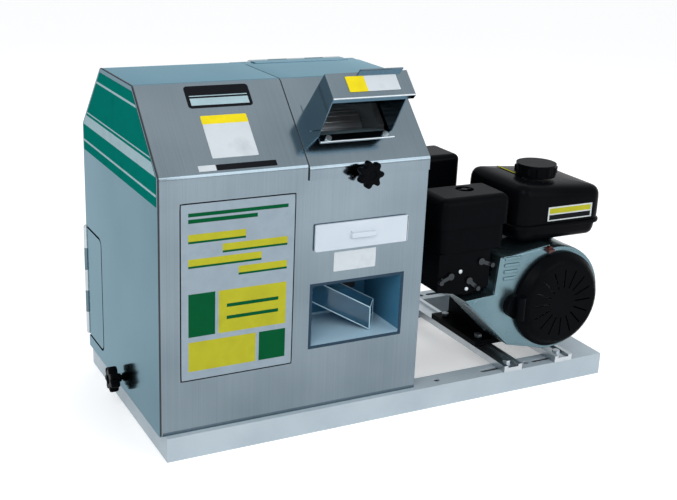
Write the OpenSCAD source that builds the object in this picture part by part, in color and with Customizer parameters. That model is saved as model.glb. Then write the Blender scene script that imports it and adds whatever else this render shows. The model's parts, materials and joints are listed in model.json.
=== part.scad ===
// Cane crushing mill on a steel base with a small petrol engine, built as an assembly of separate nodes.
// Lengths are in millimetres, +Z is up and the floor is z = 0. The operator stands at -Y.
// Positions named *_x and *_y are measured from the cabinet's front left corner, heights from the floor.

/* [Base] */
// length of the base frame along X
base_length = 840; // [700:5:1000]
// width of the base frame along Y
base_width = 400; // [360:5:460]
// side of the square tube
tube_size = 40; // [30:1:50]
// wall of the square tube
tube_wall = 3; // [2:0.5:5]
// how far the cabinet stands past the left end of the base
cabinet_overhang = 8; // [0:1:20]
// cross tube under the gearbox stand, centre
stand_tube_x = 135; // [120:1:150]
// cross tube under the left mill cheek, centre
left_mill_tube_x = 260; // [250:1:270]
// cross tube under the right mill cheek, centre
right_mill_tube_x = 412; // [402:1:420]
// width of the closing plate at the engine end
end_plate_w = 64; // [50:1:70]
// thickness of the closing plate
end_plate_t = 3; // [2:0.5:5]
// radius of the floor fixing holes
fix_hole_r = 5.5; // [4:0.5:8]
// first floor fixing hole
fix_near_x = 502; // [480:1:540]
// second floor fixing hole
fix_far_x = 692; // [660:1:700]
// length of the adjusting slots in the base rails
base_slot_l = 66; // [50:1:80]
// distance from the bolt to the centre of its adjusting slot
base_slot_shift = 22; // [0:1:27]

/* [Engine rails] */
// width of an engine rail
engine_rail_w = 38; // [30:1:50]
// height of an engine rail
engine_rail_h = 12; // [8:1:20]
// depth of the groove along the rail
rail_groove_d = 4; // [2:0.5:6]
// width of the groove along the rail
rail_groove_w = 22; // [20:0.5:28]
// how far a rail stands past the base, each end
rail_overrun = 2; // [0:0.5:6]
// centre of the left rail
left_rail_x = 648; // [600:1:660]
// centre of the right rail
right_rail_x = 759; // [740:1:780]
// shank radius of the engine and rail bolts
bolt_r = 4; // [3:0.5:6]
// half the width across the corners of a bolt head
bolt_head_r = 7.5; // [6:0.5:10]
// height of a bolt head
bolt_head_h = 5.5; // [4:0.5:8]
// clearance between a bolt and its hole
bolt_clearance = 1; // [0.5:0.1:1.5]

/* [Cabinet] */
// width of the cabinet
cabinet_w = 450; // [420:1:480]
// depth of the cabinet
cabinet_d = 380; // [360:1:400]
// height of the upright walls
wall_top = 445; // [430:1:460]
// height of the flat top
ridge_top = 556; // [540:1:580]
// sheet thickness of the cabinet
sheet = 2; // [1.5:0.1:3]
// seam between the fixed cover and the lid
seam_x = 237; // [230:1:245]
// gap at the seam
seam_gap = 1.5; // [1:0.1:3]
// clearance between the lid and what it closes on
lid_gap = 0.5; // [0.3:0.1:1]
// height of the lid's front flange above its lower edge
lid_flange_h = 23; // [15:1:30]

/* [Knobs] */
// middle of the front knob
front_knob_x = 329; // [320:1:340]
// height of the front knob
front_knob_z = 430; // [428:1:432]
// middle of the side knob, back from the front
side_knob_y = 190; // [170:1:210]
// height of the side knob
side_knob_z = 58; // [55:1:70]
// radius to the tips of the lobes
knob_r = 22; // [18:0.5:26]
// radius of a lobe
knob_lobe_r = 6.5; // [5:0.5:8]
// lobes on a knob
knob_lobes = 7; // [5:1:8]
// thickness of a knob's lobed head
knob_t = 15; // [10:0.5:20]
// gap from the front panel to the front knob's collar
front_knob_gap = 12; // [10:0.5:20]
// gap from the side panel to the side knob's collar
side_knob_gap = 2; // [1:0.5:10]
// length of a knob's collar
knob_collar_l = 6; // [4:0.5:10]
// radius of a knob's stud
stud_r = 4; // [3:0.5:5]
// running clearance of a turning stud or shaft in its hole
run_clearance = 0.05; // [0.02:0.01:0.09]

/* [Drawer] */
// left edge of the drawer front
drawer_x = 250; // [245:1:255]
// width of the drawer front
drawer_w = 166; // [150:1:175]
// lower edge of the drawer front
drawer_z = 307; // [300:1:312]
// height of the drawer front
drawer_h = 44; // [40:1:50]
// thickness of the drawer front
drawer_front_t = 5; // [4:0.5:8]
// depth of the strainer tray behind the front
tray_d = 250; // [200:1:252]
// sheet of the strainer tray
tray_sheet = 1.5; // [1:0.1:2]
// running gap around the tray
tray_gap = 0.5; // [0.3:0.1:1]
// rows of strainer slots
strainer_rows = 13; // [8:1:16]
// slots in a row
strainer_columns = 3; // [2:1:4]
// width of a strainer slot
strainer_slot_w = 4; // [3:0.5:6]
// width of the drawer's pull
pull_w = 44; // [30:1:60]
// height of the drawer's pull
pull_h = 9; // [6:0.5:12]
// how far the pull stands out
pull_d = 6; // [4:0.5:10]

/* [Juice niche] */
// left edge of the niche opening
niche_x = 251; // [246:1:256]
// width of the niche opening
niche_w = 160; // [150:1:166]
// floor of the niche opening
niche_z = 149; // [140:1:155]
// height of the niche opening
niche_h = 100; // [90:1:105]
// depth of the niche
niche_d = 118; // [100:1:126]
// thickness of the clear sheet
clear_sheet = 5; // [3:0.5:6]
// width of the juice chute
chute_w = 40; // [30:1:50]
// thickness of the chute's clear sheet
chute_sheet = 3; // [2:0.5:4]

/* [Mill] */
// axis of the top roller, back from the front
top_roller_y = 165; // [155:1:172]
// height of the top roller's axis
top_roller_z = 454; // [450:1:470]
// radius of the rollers
roller_r = 36; // [34:0.5:38]
// gap between two rollers
roller_gap = 1; // [0.8:0.1:3]
// half the angle between the two lower rollers, seen from the top one
roller_spread = 38; // [36:1:42]
// grooves around a roller
roller_grooves = 20; // [12:1:30]
// radius of a groove
groove_r = 1.6; // [1:0.1:2.5]
// radius of a roller's shaft
roller_shaft_r = 15; // [12:0.5:16]
// inner face of the left cheek
mill_x = 266; // [262:1:268]
// distance between the cheeks
mill_w = 134; // [128:1:136]
// thickness of a cheek
cheek_t = 12; // [8:0.5:14]
// play between a roller's end and its cheek
roller_end_play = 1; // [0.5:0.1:2]
// wall of a bearing bush
bush_wall = 4; // [3:0.5:6]
// teeth on a roller gear
gear_teeth = 18; // [16:1:20]
// width of a roller gear
gear_w = 18; // [12:1:22]
// play between the teeth
gear_backlash = 0.8; // [0.5:0.1:1.5]

/* [Drive] */
// axis of the gearbox input, from the left
input_x = 135; // [125:1:140]
// distance between the gearbox input and output axes
gearbox_centres = 74; // [70:1:80]
// width of the gearbox across its output bosses
gearbox_w = 100; // [90:1:110]
// radius of the gear case
gear_case_r = 62; // [58:1:66]
// radius of the worm case
worm_case_r = 30; // [28:1:34]
// radius of the input shaft
input_shaft_r = 11; // [9:0.5:13]
// belt plane, back from the front
belt_y = 272; // [270:1:280]
// outer radius of the driven pulley
driven_r = 88; // [80:1:92]
// outer radius of the engine pulley
drive_r = 38; // [35:1:42]
// width of a pulley's rim
pulley_w = 22; // [20:1:26]
// width over the back of the belt
belt_top_w = 15; // [12:0.5:17]
// width of the belt's inner face
belt_foot_w = 9; // [7:0.5:11]
// thickness of the belt
belt_h = 9; // [8:0.5:11]
// gap between the belt and its grooves
belt_gap = 0.4; // [0.3:0.05:0.6]

/* [Hopper and outlet] */
// left side of the feed hopper
hopper_x = 268; // [266:1:272]
// width of the feed hopper
hopper_w = 130; // [120:1:134]
// start of the hopper, measured up the slope
hopper_foot = 48; // [40:1:60]
// length of the hopper's foot along the slope
hopper_foot_l = 58; // [50:1:64]
// height of the hopper's top plate over the slope
hopper_h = 80; // [60:1:100]
// front of the top plate, measured up the slope
hopper_brow = 64; // [50:1:72]
// length of the top plate along the slope
hopper_brow_l = 44; // [40:1:50]
// how far the top plate stands past the right side
hopper_overhang = 12; // [0:1:16]
// depth of the folded front lip
hopper_lip = 10; // [6:0.5:14]
// width of the tab at the back of the top plate
hopper_tab_w = 75; // [60:1:90]
// height of that tab
hopper_tab_h = 8; // [5:0.5:12]
// width of the bolted flange at the hopper's foot
hopper_flange = 11; // [9:0.5:14]
// shank radius of a small sheet bolt
small_bolt_r = 2.5; // [2:0.5:3]
// radius of a small bolt head
small_head_r = 5; // [4:0.5:6]
// height of a small bolt head
small_head_h = 3; // [2:0.5:4]
// length of the outlet along the back slope
outlet_l = 62; // [50:1:64]
// lower edge of the outlet, measured up the back slope
outlet_foot = 62; // [50:1:68]
// reach of the outlet spout
outlet_reach = 70; // [50:1:90]

/* [Side flap] */
// lower edge of the access flap
flap_z = 64; // [60:1:80]
// height of the access flap
flap_h = 198; // [180:1:210]
// width of the access flap
flap_w = 86.5; // [80:0.5:92]
// gap around the access flap
flap_gap = 4; // [3:0.5:5]
// radius of the flap's upper front corner
flap_corner_r = 10; // [5:0.5:14]
// radius of a hinge pin
pin_r = 2; // [1.5:0.1:3]
// radius of a hinge barrel
barrel_r = 4.5; // [4:0.1:6]
// width of a hinge leaf
leaf_w = 22; // [16:0.5:30]
// thickness of a hinge leaf
leaf_t = 1.5; // [1:0.1:2]
// knuckles on a hinge
knuckles = 5; // [3:2:7]
// play between knuckles
knuckle_gap = 0.5; // [0.3:0.1:1]

/* [Belt guard] */
// sheet of the belt guard
guard_sheet = 2; // [1.5:0.1:3]
// room between the belt and the guard's rim
guard_room = 16; // [12:1:24]
// depth of the belt guard
guard_d = 50; // [46:1:60]

/* [Engine] */
// crankshaft axis, from the left
crank_x = 736; // [720:1:748]
// height of the crankshaft axis
crank_z = 160; // [156:1:166]
// height over the rails of the engine's foot
foot_t = 10; // [8:0.5:14]
// front of the engine block
block_y = 82; // [76:1:88]
// length of the engine block along the crankshaft
block_l = 148; // [140:1:154]
// width of the crankcase
case_w = 142; // [130:1:150]
// height of the crankcase
case_h = 160; // [150:1:166]
// radius of the crankcase corners
case_corner_r = 26; // [20:1:32]
// tilt of the cylinder over the horizontal
cylinder_tilt = 25; // [20:1:30]
// start of the fins, from the crankshaft
fin_start = 86; // [84:1:90]
// spacing of the cooling fins
fin_pitch = 9; // [7:0.5:11]
// thickness of a cooling fin
fin_t = 3; // [2:0.5:4]
// fins on the barrel
barrel_fins = 6; // [4:1:7]
// fins on the head
head_fins = 3; // [2:1:4]
// side of a cooling fin
fin_side = 92; // [84:1:100]
// radius of the barrel core
barrel_core_r = 38; // [34:1:42]
// length of the rocker cover
rocker_l = 30; // [24:1:36]
// radius of the crankshaft's output end
crank_r = 10; // [9:0.5:12]
// radius of the fan shroud
shroud_r = 96; // [92:1:100]
// front of the recoil cover, before the cabinet front
recoil_front = 20; // [14:1:22]
// depth of the recoil cover
recoil_d = 26; // [22:1:30]
// wall of the fan shroud
shroud_wall = 3; // [2:0.5:4]
// radius of the recoil cover
recoil_r = 88; // [84:1:90]
// radius of the flat on the recoil cover
recoil_flat_r = 70; // [60:1:76]
// wall of the recoil cover
recoil_wall = 2.5; // [2:0.5:4]
// air slots in the recoil cover
recoil_slots = 16; // [8:1:24]
// radius of the flywheel
flywheel_r = 76; // [70:1:78]
// fan blades on the flywheel
fan_blades = 14; // [10:1:20]

/* [Tank] */
// left side of the fuel tank
tank_x = 648; // [640:1:656]
// front of the fuel tank
tank_y = 12; // [6:1:20]
// width of the fuel tank
tank_w = 184; // [174:1:192]
// depth of the fuel tank
tank_d = 170; // [156:1:176]
// underside of the fuel tank
tank_bottom = 266; // [262:1:272]
// height of the seam round the tank
tank_seam_z = 294; // [286:1:298]
// top of the tank at its left side
tank_top = 372; // [364:1:378]
// drop of the tank's top towards the right
tank_fall = 15; // [10:1:20]
// rounding of the tank
tank_round = 20; // [16:1:24]
// slant at the tank's edges
tank_bevel = 9; // [5:0.5:12]
// reach of the seam flange
seam_reach = 9; // [6:0.5:12]
// thickness of the seam flange
seam_t = 5; // [3:0.5:6]
// wall of the tank
tank_wall = 4; // [3:0.5:6]
// filler cap, from the left
cap_x = 727; // [716:1:740]
// filler cap, back from the front
cap_y = 80; // [70:1:90]
// radius of the filler cap
cap_r = 38; // [36:1:42]
// height of the filler cap
cap_h = 17; // [14:1:22]
// radius of the filler neck
neck_r = 30; // [26:1:34]
// wall of the filler neck
neck_wall = 3; // [2:0.5:4]

/* [Intake and exhaust] */
// left side of the air cleaner
cleaner_x = 490; // [484:1:496]
// front of the air cleaner
cleaner_y = 10; // [6:1:16]
// width of the air cleaner
cleaner_w = 138; // [130:1:142]
// depth of the air cleaner
cleaner_d = 88; // [80:1:94]
// top of the air cleaner
cleaner_top = 362; // [356:1:366]
// height of the air cleaner's cover
cleaner_cover_h = 52; // [40:1:60]
// height of the air cleaner's lower case
cleaner_case_h = 44; // [36:1:50]
// rounding of the air cleaner
cleaner_round = 14; // [10:1:20]
// underside of the control cover
control_z = 188; // [186:1:196]
// left side of the muffler guard
muffler_x = 560; // [554:1:566]
// front of the muffler guard
muffler_y = 206; // [204:1:212]
// width of the muffler guard
muffler_w = 92; // [84:1:100]
// depth of the muffler guard
muffler_d = 86; // [76:1:92]
// top of the muffler guard
muffler_top = 382; // [376:1:388]
// height of the muffler guard
muffler_h = 76; // [66:1:80]
// sheet of the muffler guard
muffler_sheet = 2; // [1.5:0.1:3]

/* [Hidden] */
$fn = 48;
corner_x = -base_length / 2 - cabinet_overhang;
corner_y = -cabinet_d / 2;
base_left_x = cabinet_overhang;
base_right_x = base_left_x + base_length;
base_front_y = (cabinet_d - base_width) / 2;
base_back_y = base_front_y + base_width;
cut = tube_wall;
slope_run = ridge_top - wall_top;
slope_angle = 45;
slope_skew = tan(slope_angle / 2);
back_ridge_y = cabinet_d - slope_run;
floor_z = tube_size + sheet;
lid_x = seam_x + seam_gap / 2;
lid_w = cabinet_w - lid_x;
rail_top = tube_size + engine_rail_h;
front_bolt_y = base_front_y + tube_size / 2;
back_bolt_y = base_back_y - tube_size / 2;
bolt_ys = [front_bolt_y, back_bolt_y];
rail_xs = [left_rail_x, right_rail_x];
foot_share = 0.125;
foot_ys = [block_y + block_l * foot_share, block_y + block_l * (1 - foot_share)];
roller_centres = 2 * roller_r + roller_gap;
lower_roller_z = top_roller_z - roller_centres * cos(roller_spread);
feed_roller_y = top_roller_y - roller_centres * sin(roller_spread);
out_roller_y = top_roller_y + roller_centres * sin(roller_spread);
roller_ends = [mill_x + roller_end_play, mill_x + mill_w - roller_end_play];
right_cheek_x = mill_x + mill_w;
bush_r = roller_shaft_r + run_clearance + bush_wall;
gear_x = right_cheek_x + cheek_t + roller_end_play * 3;
input_z = top_roller_z - gearbox_centres;
gearbox_x = input_x - gearbox_w / 2;
block_back_y = block_y + block_l;
guard_y = belt_y - guard_d / 2;
edge_drop = (sheet + lid_gap) / cos(slope_angle);
belt_lean = atan((input_z - crank_z) / (crank_x - input_x));
pulley_centres = sqrt(pow(input_z - crank_z, 2) + pow(crank_x - input_x, 2));
belt_wrap = asin((driven_r - drive_r) / pulley_centres);
vent_w_share = 0.12;
vent_rows = 6;
vent_x_shares = [0.2, 0.36];
vent_z_share = 0.4;
tray_inset = 5;
tray_lift = 5;
tray_h = drawer_h - 2 * tray_lift;
strainer_margin = 10;
strainer_open_share = 0.8;
runner_t = 3;
brow_w = hopper_w + hopper_overhang;
hopper_bolt_inset = 15;
hopper_bolt_xs = [hopper_x + hopper_bolt_inset, hopper_x + hopper_w - hopper_bolt_inset];
hinge_inset = 20;
flap_y = cabinet_d - flap_w - lid_gap;
lid_hinge_x = lid_x + hinge_inset;
lid_hinge_l = lid_w - 2 * hinge_inset;
hinge_drop = 2 * barrel_r;
hinge_rise = barrel_r + lid_gap;
hinge_axis = [back_ridge_y, ridge_top] + down_slope(hinge_drop, hinge_rise);
leaf_foot = 2 * lid_gap;
head_share = 0.8;
knob_dish = 2;
lobe_root_share = 1.3;
dish_share = 0.8;
knob_collar_r = (knob_r - 2 * knob_lobe_r) * dish_share;
stud_nut_t = 8;
niche_mouth_share = 0.2;
funnel_mouth_y = 74;
funnel_mouth_l = 36;
funnel_front_y = 64;
funnel_gap = 2;
funnel_low_z = niche_z + niche_h + clear_sheet + funnel_gap;
funnel_high_z = drawer_z - tray_lift;
chute_x_share = 0.82;
chute_y_share = 0.34;
chute_turn = 144;
chute_l = 100;
chute_rise = 40;
cheek_front_y = 82;
cheek_leg_y = 140;
cheek_back_y = 252;
cheek_top = 520;
cheek_chamfer = 40;
cheek_knee_z = 300;
roller_axes = [
  [top_roller_y, top_roller_z],
  [feed_roller_y, lower_roller_z],
  [out_roller_y, lower_roller_z]
];
tie_axes = [[92, 358], [240, 360], [165, 506], [200, 150]];
guide_clear = 3;
guide_low_z = lower_roller_z + roller_r + guide_clear;
guide_top_z = 470;
guide_end_y = 325;
guide_end_z = 484;
turn_plate_w = 20;
turn_plate_gap = 4;
turn_plate_z = top_roller_z - roller_r - turn_plate_gap;
addendum_share = 0.9;
dedendum_share = 1.15;
tip_share = 0.5;
root_share = 1.3;
case_rim_t = 6;
worm_case_l = 150;
case_ribs = 5;
foot_sink_share = 1.5;
neck_share = 0.85;
gearbox_foot_z = input_z - worm_case_r - case_rim_t * foot_sink_share;
gearbox_bolt_inset = 12;
gearbox_bolts_at = [
  for (x = [gearbox_x + gearbox_bolt_inset, gearbox_x + gearbox_w - gearbox_bolt_inset])
    for (side = [-1, 1])
      [x, top_roller_y + side * (gear_case_r - gearbox_bolt_inset)]
];
stand_sheet = 4;
pulley_holes = 5;
pulley_hole_share = 0.5;
pulley_hole_r_share = 0.15;
shaft_stub = 6;
guard_share = (crank_x - cabinet_w) / (crank_x - input_x);
guard_middle = crank_z + (input_z - crank_z) * guard_share;
guard_half = (drive_r + (driven_r - drive_r) * guard_share) / cos(belt_lean) + guard_room;
guard_high = guard_middle + guard_half;
guard_low = guard_middle - guard_half;
guard_stays = [[crank_x - drive_r, crank_z + drive_r], [crank_x, crank_z - drive_r]];
case_lift = 14;
case_bottom = rail_top + foot_t + case_lift;
barrel_end = fin_start + barrel_fins * fin_pitch;
head_end = barrel_end + head_fins * fin_pitch;
rocker_share = 0.8;
plug_r = 8;
plug_l = 24;
plug_share = 0.3;
case_right = crank_x + case_w / 2;
dipstick_r = 9;
dipstick_y = 196;
dipstick_z = 108;
dipstick_l = 40;
shroud_y = recoil_d - recoil_front;
shroud_left = -82;
shroud_arm = [[-190, 20], [-130, 24], [-124, 90], [-20, 102], [0, 0], [-26, -92], [-93, -76]];
arm_centre = [-80, 20];
arm_share = 0.93;
shroud_arm_inside = [for (p = shroud_arm) arm_centre + (p - arm_centre) * arm_share];
shroud_ribs = 4;
rib_share = 0.36;
rear_mouth_share = 0.55;
recoil_bow = 6;
slot_shares = [0.4, 0.88];
grip_boss_r = 22;
grip_stem_r = 3.5;
grip_r = 8;
grip_l = 42;
flywheel_y = 46;
flywheel_t = 16;
blade_share = 0.6;
neck_rise = 2;
neck_top = tank_top + neck_rise;
cap_skirt = 5;
cap_grips = 12;
cap_grip_r = 5;
nut_shares = [0.55, 0.6];
nut_x = cleaner_x + cleaner_w * nut_shares[0];
nut_y = cleaner_y + cleaner_d * nut_shares[1];
nut_recess = 10;
nut_recess_r = 16;
nut_share = 0.35;
wing_share = 0.8;
control_y = 16;
control_d = 66;
control_top = cleaner_top - cleaner_cover_h - cleaner_case_h;
control_w_share = 0.78;
control_right = cleaner_x + cleaner_w * control_w_share;
control_share = 0.45;
levers = [[578, 246, -20], [518, 226, 200], [556, 214, -42]];
lever_pin_r = 3;
lever_hub_r = 6;
lever_t = 4;
lever_l = 22;
lever_share = 0.55;
lever_tip_share = 0.7;
carb_reach = (barrel_end + head_end) / 2;
carb_x = crank_x - carb_reach * cos(cylinder_tilt);
carb_z = crank_z + carb_reach * sin(cylinder_tilt);
carb_w = 34;
pipe_r = 12;
pipe_share = 0.9;
pipe_y = muffler_y + muffler_d / 4;
fins_back = block_y + block_l / 2 + fin_side / 2;
muffler_room = 6;
guard_slots = 6;
switch_x = -24;
switch_z = 95;

module placed() {
  translate([corner_x, corner_y, 0]) children();
}

module along_x(start, length) {
  translate([start, 0, 0]) rotate([90, 0, 90]) linear_extrude(length) children();
}

module along_y(start, length) {
  translate([0, start + length, 0]) rotate([90, 0, 0]) linear_extrude(length) children();
}

module block(at, size) {
  translate(at) cube(size);
}

module rod_x(at, radius, length) {
  translate(at) rotate([0, 90, 0]) cylinder(r = radius, h = length);
}

module rod_y(at, radius, length) {
  translate(at) rotate([-90, 0, 0]) cylinder(r = radius, h = length);
}

module rod_z(at, radius, length) {
  translate(at) cylinder(r = radius, h = length);
}

module rounded_rect(at, size, radius) {
  translate(at) {
    translate([radius, 0]) square([size[0] - 2 * radius, size[1]]);
    translate([0, radius]) square([size[0], size[1] - 2 * radius]);
    for (x = [radius, size[0] - radius])
      for (y = [radius, size[1] - radius])
        translate([x, y]) circle(radius);
  }
}

module slot_z(at, length, radius, depth) {
  translate(at) {
    translate([-length / 2 + radius, -radius, 0]) cube([length - 2 * radius, 2 * radius, depth]);
    for (x = [-length / 2 + radius, length / 2 - radius])
      translate([x, 0, 0]) cylinder(r = radius, h = depth);
  }
}

// bolt along -Z: the head's underside is at the given point
module hex_bolt(at, shank_l, nut_drop) {
  translate(at) {
    cylinder(r = bolt_head_r, h = bolt_head_h, $fn = 6);
    translate([0, 0, -shank_l]) cylinder(r = bolt_r, h = shank_l);
    translate([0, 0, -nut_drop - bolt_head_h]) cylinder(r = bolt_head_r, h = bolt_head_h, $fn = 6);
  }
}

module small_bolt(shank_l) {
  cylinder(r = small_head_r, h = small_head_h);
  translate([0, 0, -shank_l]) cylinder(r = small_bolt_r, h = shank_l);
}

// cabinet outline in the YZ plane, set in by a sheet
module cabinet_profile(inset) {
  polygon([
    [inset, floor_z],
    [inset, wall_top - inset * slope_skew],
    [slope_run + inset * slope_skew, ridge_top - inset],
    [back_ridge_y - inset * slope_skew, ridge_top - inset],
    [cabinet_d - inset, wall_top - inset * slope_skew],
    [cabinet_d - inset, floor_z]
  ]);
}

// moves children to the front slope: X stays, local Y runs up the slope, local Z stands off it
module on_slope() {
  translate([0, 0, wall_top]) rotate([slope_angle, 0, 0]) children();
}

// the same for the back slope, local Y again runs up the slope
module on_back_slope() {
  translate([0, cabinet_d, wall_top]) mirror([0, 1, 0]) rotate([slope_angle, 0, 0]) children();
}

module base_tube_y(x) {
  block([x - tube_size / 2, base_front_y, 0], [tube_size, base_width, tube_size]);
}

cross_xs = [
  base_left_x + tube_size / 2,
  stand_tube_x,
  left_mill_tube_x,
  right_mill_tube_x,
  base_right_x - tube_size / 2
];

module base_frame() color([0.80, 0.85, 0.90]) placed() {
  bore = tube_size - 2 * tube_wall;
  difference() {
    union() {
      for (y = [base_front_y, base_back_y - tube_size])
        block([base_left_x, y, 0], [base_length, tube_size, tube_size]);
      for (x = cross_xs) base_tube_y(x);
      block([base_right_x - end_plate_w, base_front_y, tube_size - end_plate_t],
        [end_plate_w, base_width, end_plate_t]);
    }
    for (y = [base_front_y, base_back_y - tube_size])
      block([base_left_x + tube_wall, y + tube_wall, tube_wall], [base_length - 2 * tube_wall, bore, bore]);
    for (x = cross_xs)
      block([x - bore / 2, base_front_y + tube_size, tube_wall], [bore, base_width - 2 * tube_size, bore]);
    for (x = [fix_near_x, fix_far_x])
      for (y = bolt_ys) rod_z([x, y, -cut], fix_hole_r, tube_size + 2 * cut);
    for (x = rail_xs)
      for (y = bolt_ys)
        slot_z([x - base_slot_shift, y, tube_size - 2 * tube_wall], base_slot_l, bolt_r + bolt_clearance,
          3 * tube_wall);
  }
}

module engine_rails() color([0.62, 0.68, 0.70]) placed() {
  for (x = rail_xs)
    difference() {
      block([x - engine_rail_w / 2, base_front_y - rail_overrun, tube_size],
        [engine_rail_w, base_width + 2 * rail_overrun, engine_rail_h]);
      block([x - rail_groove_w / 2, base_front_y - 2 * rail_overrun, rail_top - rail_groove_d],
        [rail_groove_w, base_width + 4 * rail_overrun, 2 * rail_groove_d]);
      for (y = concat(bolt_ys, foot_ys))
        rod_z([x, y, tube_size - cut], bolt_r + bolt_clearance, engine_rail_h + 2 * cut);
    }
}

module hex_bolts() color([0.75, 0.77, 0.78]) placed() {
  for (x = rail_xs) {
    for (y = bolt_ys)
      hex_bolt([x, y, rail_top - rail_groove_d], engine_rail_h + bolt_head_h,
        engine_rail_h - rail_groove_d + tube_wall);
    for (y = foot_ys)
      hex_bolt([x, y, rail_top + foot_t], foot_t + engine_rail_h + bolt_head_h + tube_wall,
        foot_t + engine_rail_h);
  }
  for (at = gearbox_bolts_at)
    hex_bolt([at[0], at[1], gearbox_foot_z + 2 * case_rim_t], 2 * case_rim_t + stand_sheet + bolt_head_h,
      2 * case_rim_t + stand_sheet);
}

module cabinet_floor() color([0.66, 0.70, 0.72]) placed() {
  block([0, 0, tube_size], [cabinet_w, cabinet_d, sheet]);
}

// weld nut about the origin along +Z
module weld_nut() {
  difference() {
    cylinder(r = 2 * stud_r, h = stud_nut_t, $fn = 6);
    rod_z([0, 0, -cut], stud_r + run_clearance, stud_nut_t + 2 * cut);
  }
}

module left_side_panel() color([0.60, 0.68, 0.70]) placed() {
  translate([sheet, side_knob_y, side_knob_z]) rotate([0, 90, 0]) weld_nut();
  along_x(0, sheet) difference() {
    cabinet_profile(0);
    rounded_rect([flap_y - flap_gap, flap_z - flap_gap],
      [cabinet_d, flap_h + 2 * flap_gap], flap_corner_r + flap_gap);
    translate([side_knob_y, side_knob_z]) circle(stud_r + run_clearance);
  }
}

module right_side_panel() color([0.60, 0.66, 0.68]) placed() {
  along_x(cabinet_w - sheet, sheet) difference() {
    union() {
      cabinet_profile(sheet + lid_gap);
      intersection() {
        cabinet_profile(sheet);
        translate([back_ridge_y, 0]) square(cabinet_w + cabinet_d);
      }
    }
    belt_window(cabinet_w);
  }
}

// window for the belt where it passes a wall at the given place
module belt_window(x) {
  share = (crank_x - x) / (crank_x - input_x);
  middle = crank_z + (input_z - crank_z) * share;
  half = (drive_r + (driven_r - drive_r) * share) / cos(belt_lean) + guard_room;
  translate([belt_y - pulley_w / 2 - belt_h, middle - half]) square([pulley_w + 2 * belt_h, 2 * half]);
}

module front_panel() color([0.62, 0.66, 0.69]) placed() {
  translate([front_knob_x, sheet, front_knob_z]) rotate([-90, 0, 0]) weld_nut();
  along_y(0, sheet) difference() {
    translate([sheet, floor_z]) square([cabinet_w - sheet, wall_top - floor_z - edge_drop]);
    translate([mill_x + tray_inset - tray_gap, drawer_z + tray_lift - tray_gap])
      square([mill_w - 2 * tray_inset + 2 * tray_gap, tray_h + 2 * tray_gap]);
    translate([niche_x - clear_sheet, niche_z - clear_sheet])
      square([niche_w + 2 * clear_sheet, niche_h + 2 * clear_sheet]);
    translate([front_knob_x, front_knob_z]) circle(stud_r + run_clearance);
  }
}

module back_panel() color([0.60, 0.64, 0.66]) placed() {
  vent_w = cabinet_w * vent_w_share;
  vent_h = strainer_slot_w * 2;
  along_y(cabinet_d - sheet, sheet) difference() {
    translate([sheet, floor_z]) square([cabinet_w - sheet, wall_top - floor_z - edge_drop]);
    for (i = [0 : vent_rows - 1])
      for (share = vent_x_shares)
        translate([cabinet_w * share - vent_w / 2, floor_z + cabinet_w * vent_z_share + i * vent_h * 2])
          square([vent_w, vent_h]);
  }
}

module divider_panel() color([0.55, 0.60, 0.62]) placed() {
  along_x(seam_x - seam_gap / 2 - sheet, sheet) difference() {
    cabinet_profile(sheet);
    belt_window(seam_x);
    translate([top_roller_y, top_roller_z]) circle(roller_shaft_r + bush_wall);
  }
}

module left_cover() color([0.58, 0.65, 0.67]) placed() {
  edge = sheet / cos(slope_angle);
  along_x(sheet, seam_x - seam_gap / 2 - sheet) polygon([
    [0, wall_top],
    [slope_run, ridge_top],
    [back_ridge_y, ridge_top],
    [cabinet_d, wall_top],
    [cabinet_d, wall_top - edge],
    [back_ridge_y - sheet * slope_skew, ridge_top - sheet],
    [slope_run + sheet * slope_skew, ridge_top - sheet],
    [0, wall_top - edge]
  ]);
}

module back_cover() color([0.58, 0.64, 0.66]) placed() {
  difference() {
    along_x(lid_x, lid_w) polygon([
      [back_ridge_y, ridge_top],
      [cabinet_d, wall_top],
      [cabinet_d, wall_top - sheet / cos(slope_angle)],
      [back_ridge_y, ridge_top - sheet / cos(slope_angle)]
    ]);
    on_back_slope() block([hopper_x + sheet, outlet_foot + sheet, -2 * sheet],
      [hopper_w - 2 * sheet, outlet_l - 2 * sheet, 4 * sheet]);
  }
  on_back_slope() {
    for (x = [hopper_x, hopper_x + hopper_w - sheet]) along_x(x, sheet) polygon([
      [outlet_foot, 0],
      [outlet_foot + outlet_l, 0],
      [outlet_foot + outlet_l / 2 - outlet_reach / 2, outlet_reach],
      [outlet_foot - outlet_reach / 2, outlet_reach / 2]
    ]);
    along_x(hopper_x, hopper_w) polygon([
      [outlet_foot + outlet_l, 0],
      [outlet_foot + outlet_l / 2 - outlet_reach / 2, outlet_reach],
      [outlet_foot + outlet_l / 2 - outlet_reach / 2 - sheet, outlet_reach - sheet],
      [outlet_foot + outlet_l - 2 * sheet, 0]
    ]);
  }
}

// frame on the ridge's rear corner, Y down the back slope and Z off it
module behind_ridge() {
  translate([lid_hinge_x, back_ridge_y, ridge_top]) rotate([-slope_angle, 0, 0]) children();
}

// point of the back slope's profile, counted from the ridge's rear corner
function down_slope(along, off) = [
  along * cos(slope_angle) + off * sin(slope_angle),
  off * cos(slope_angle) - along * sin(slope_angle)
];

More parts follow.
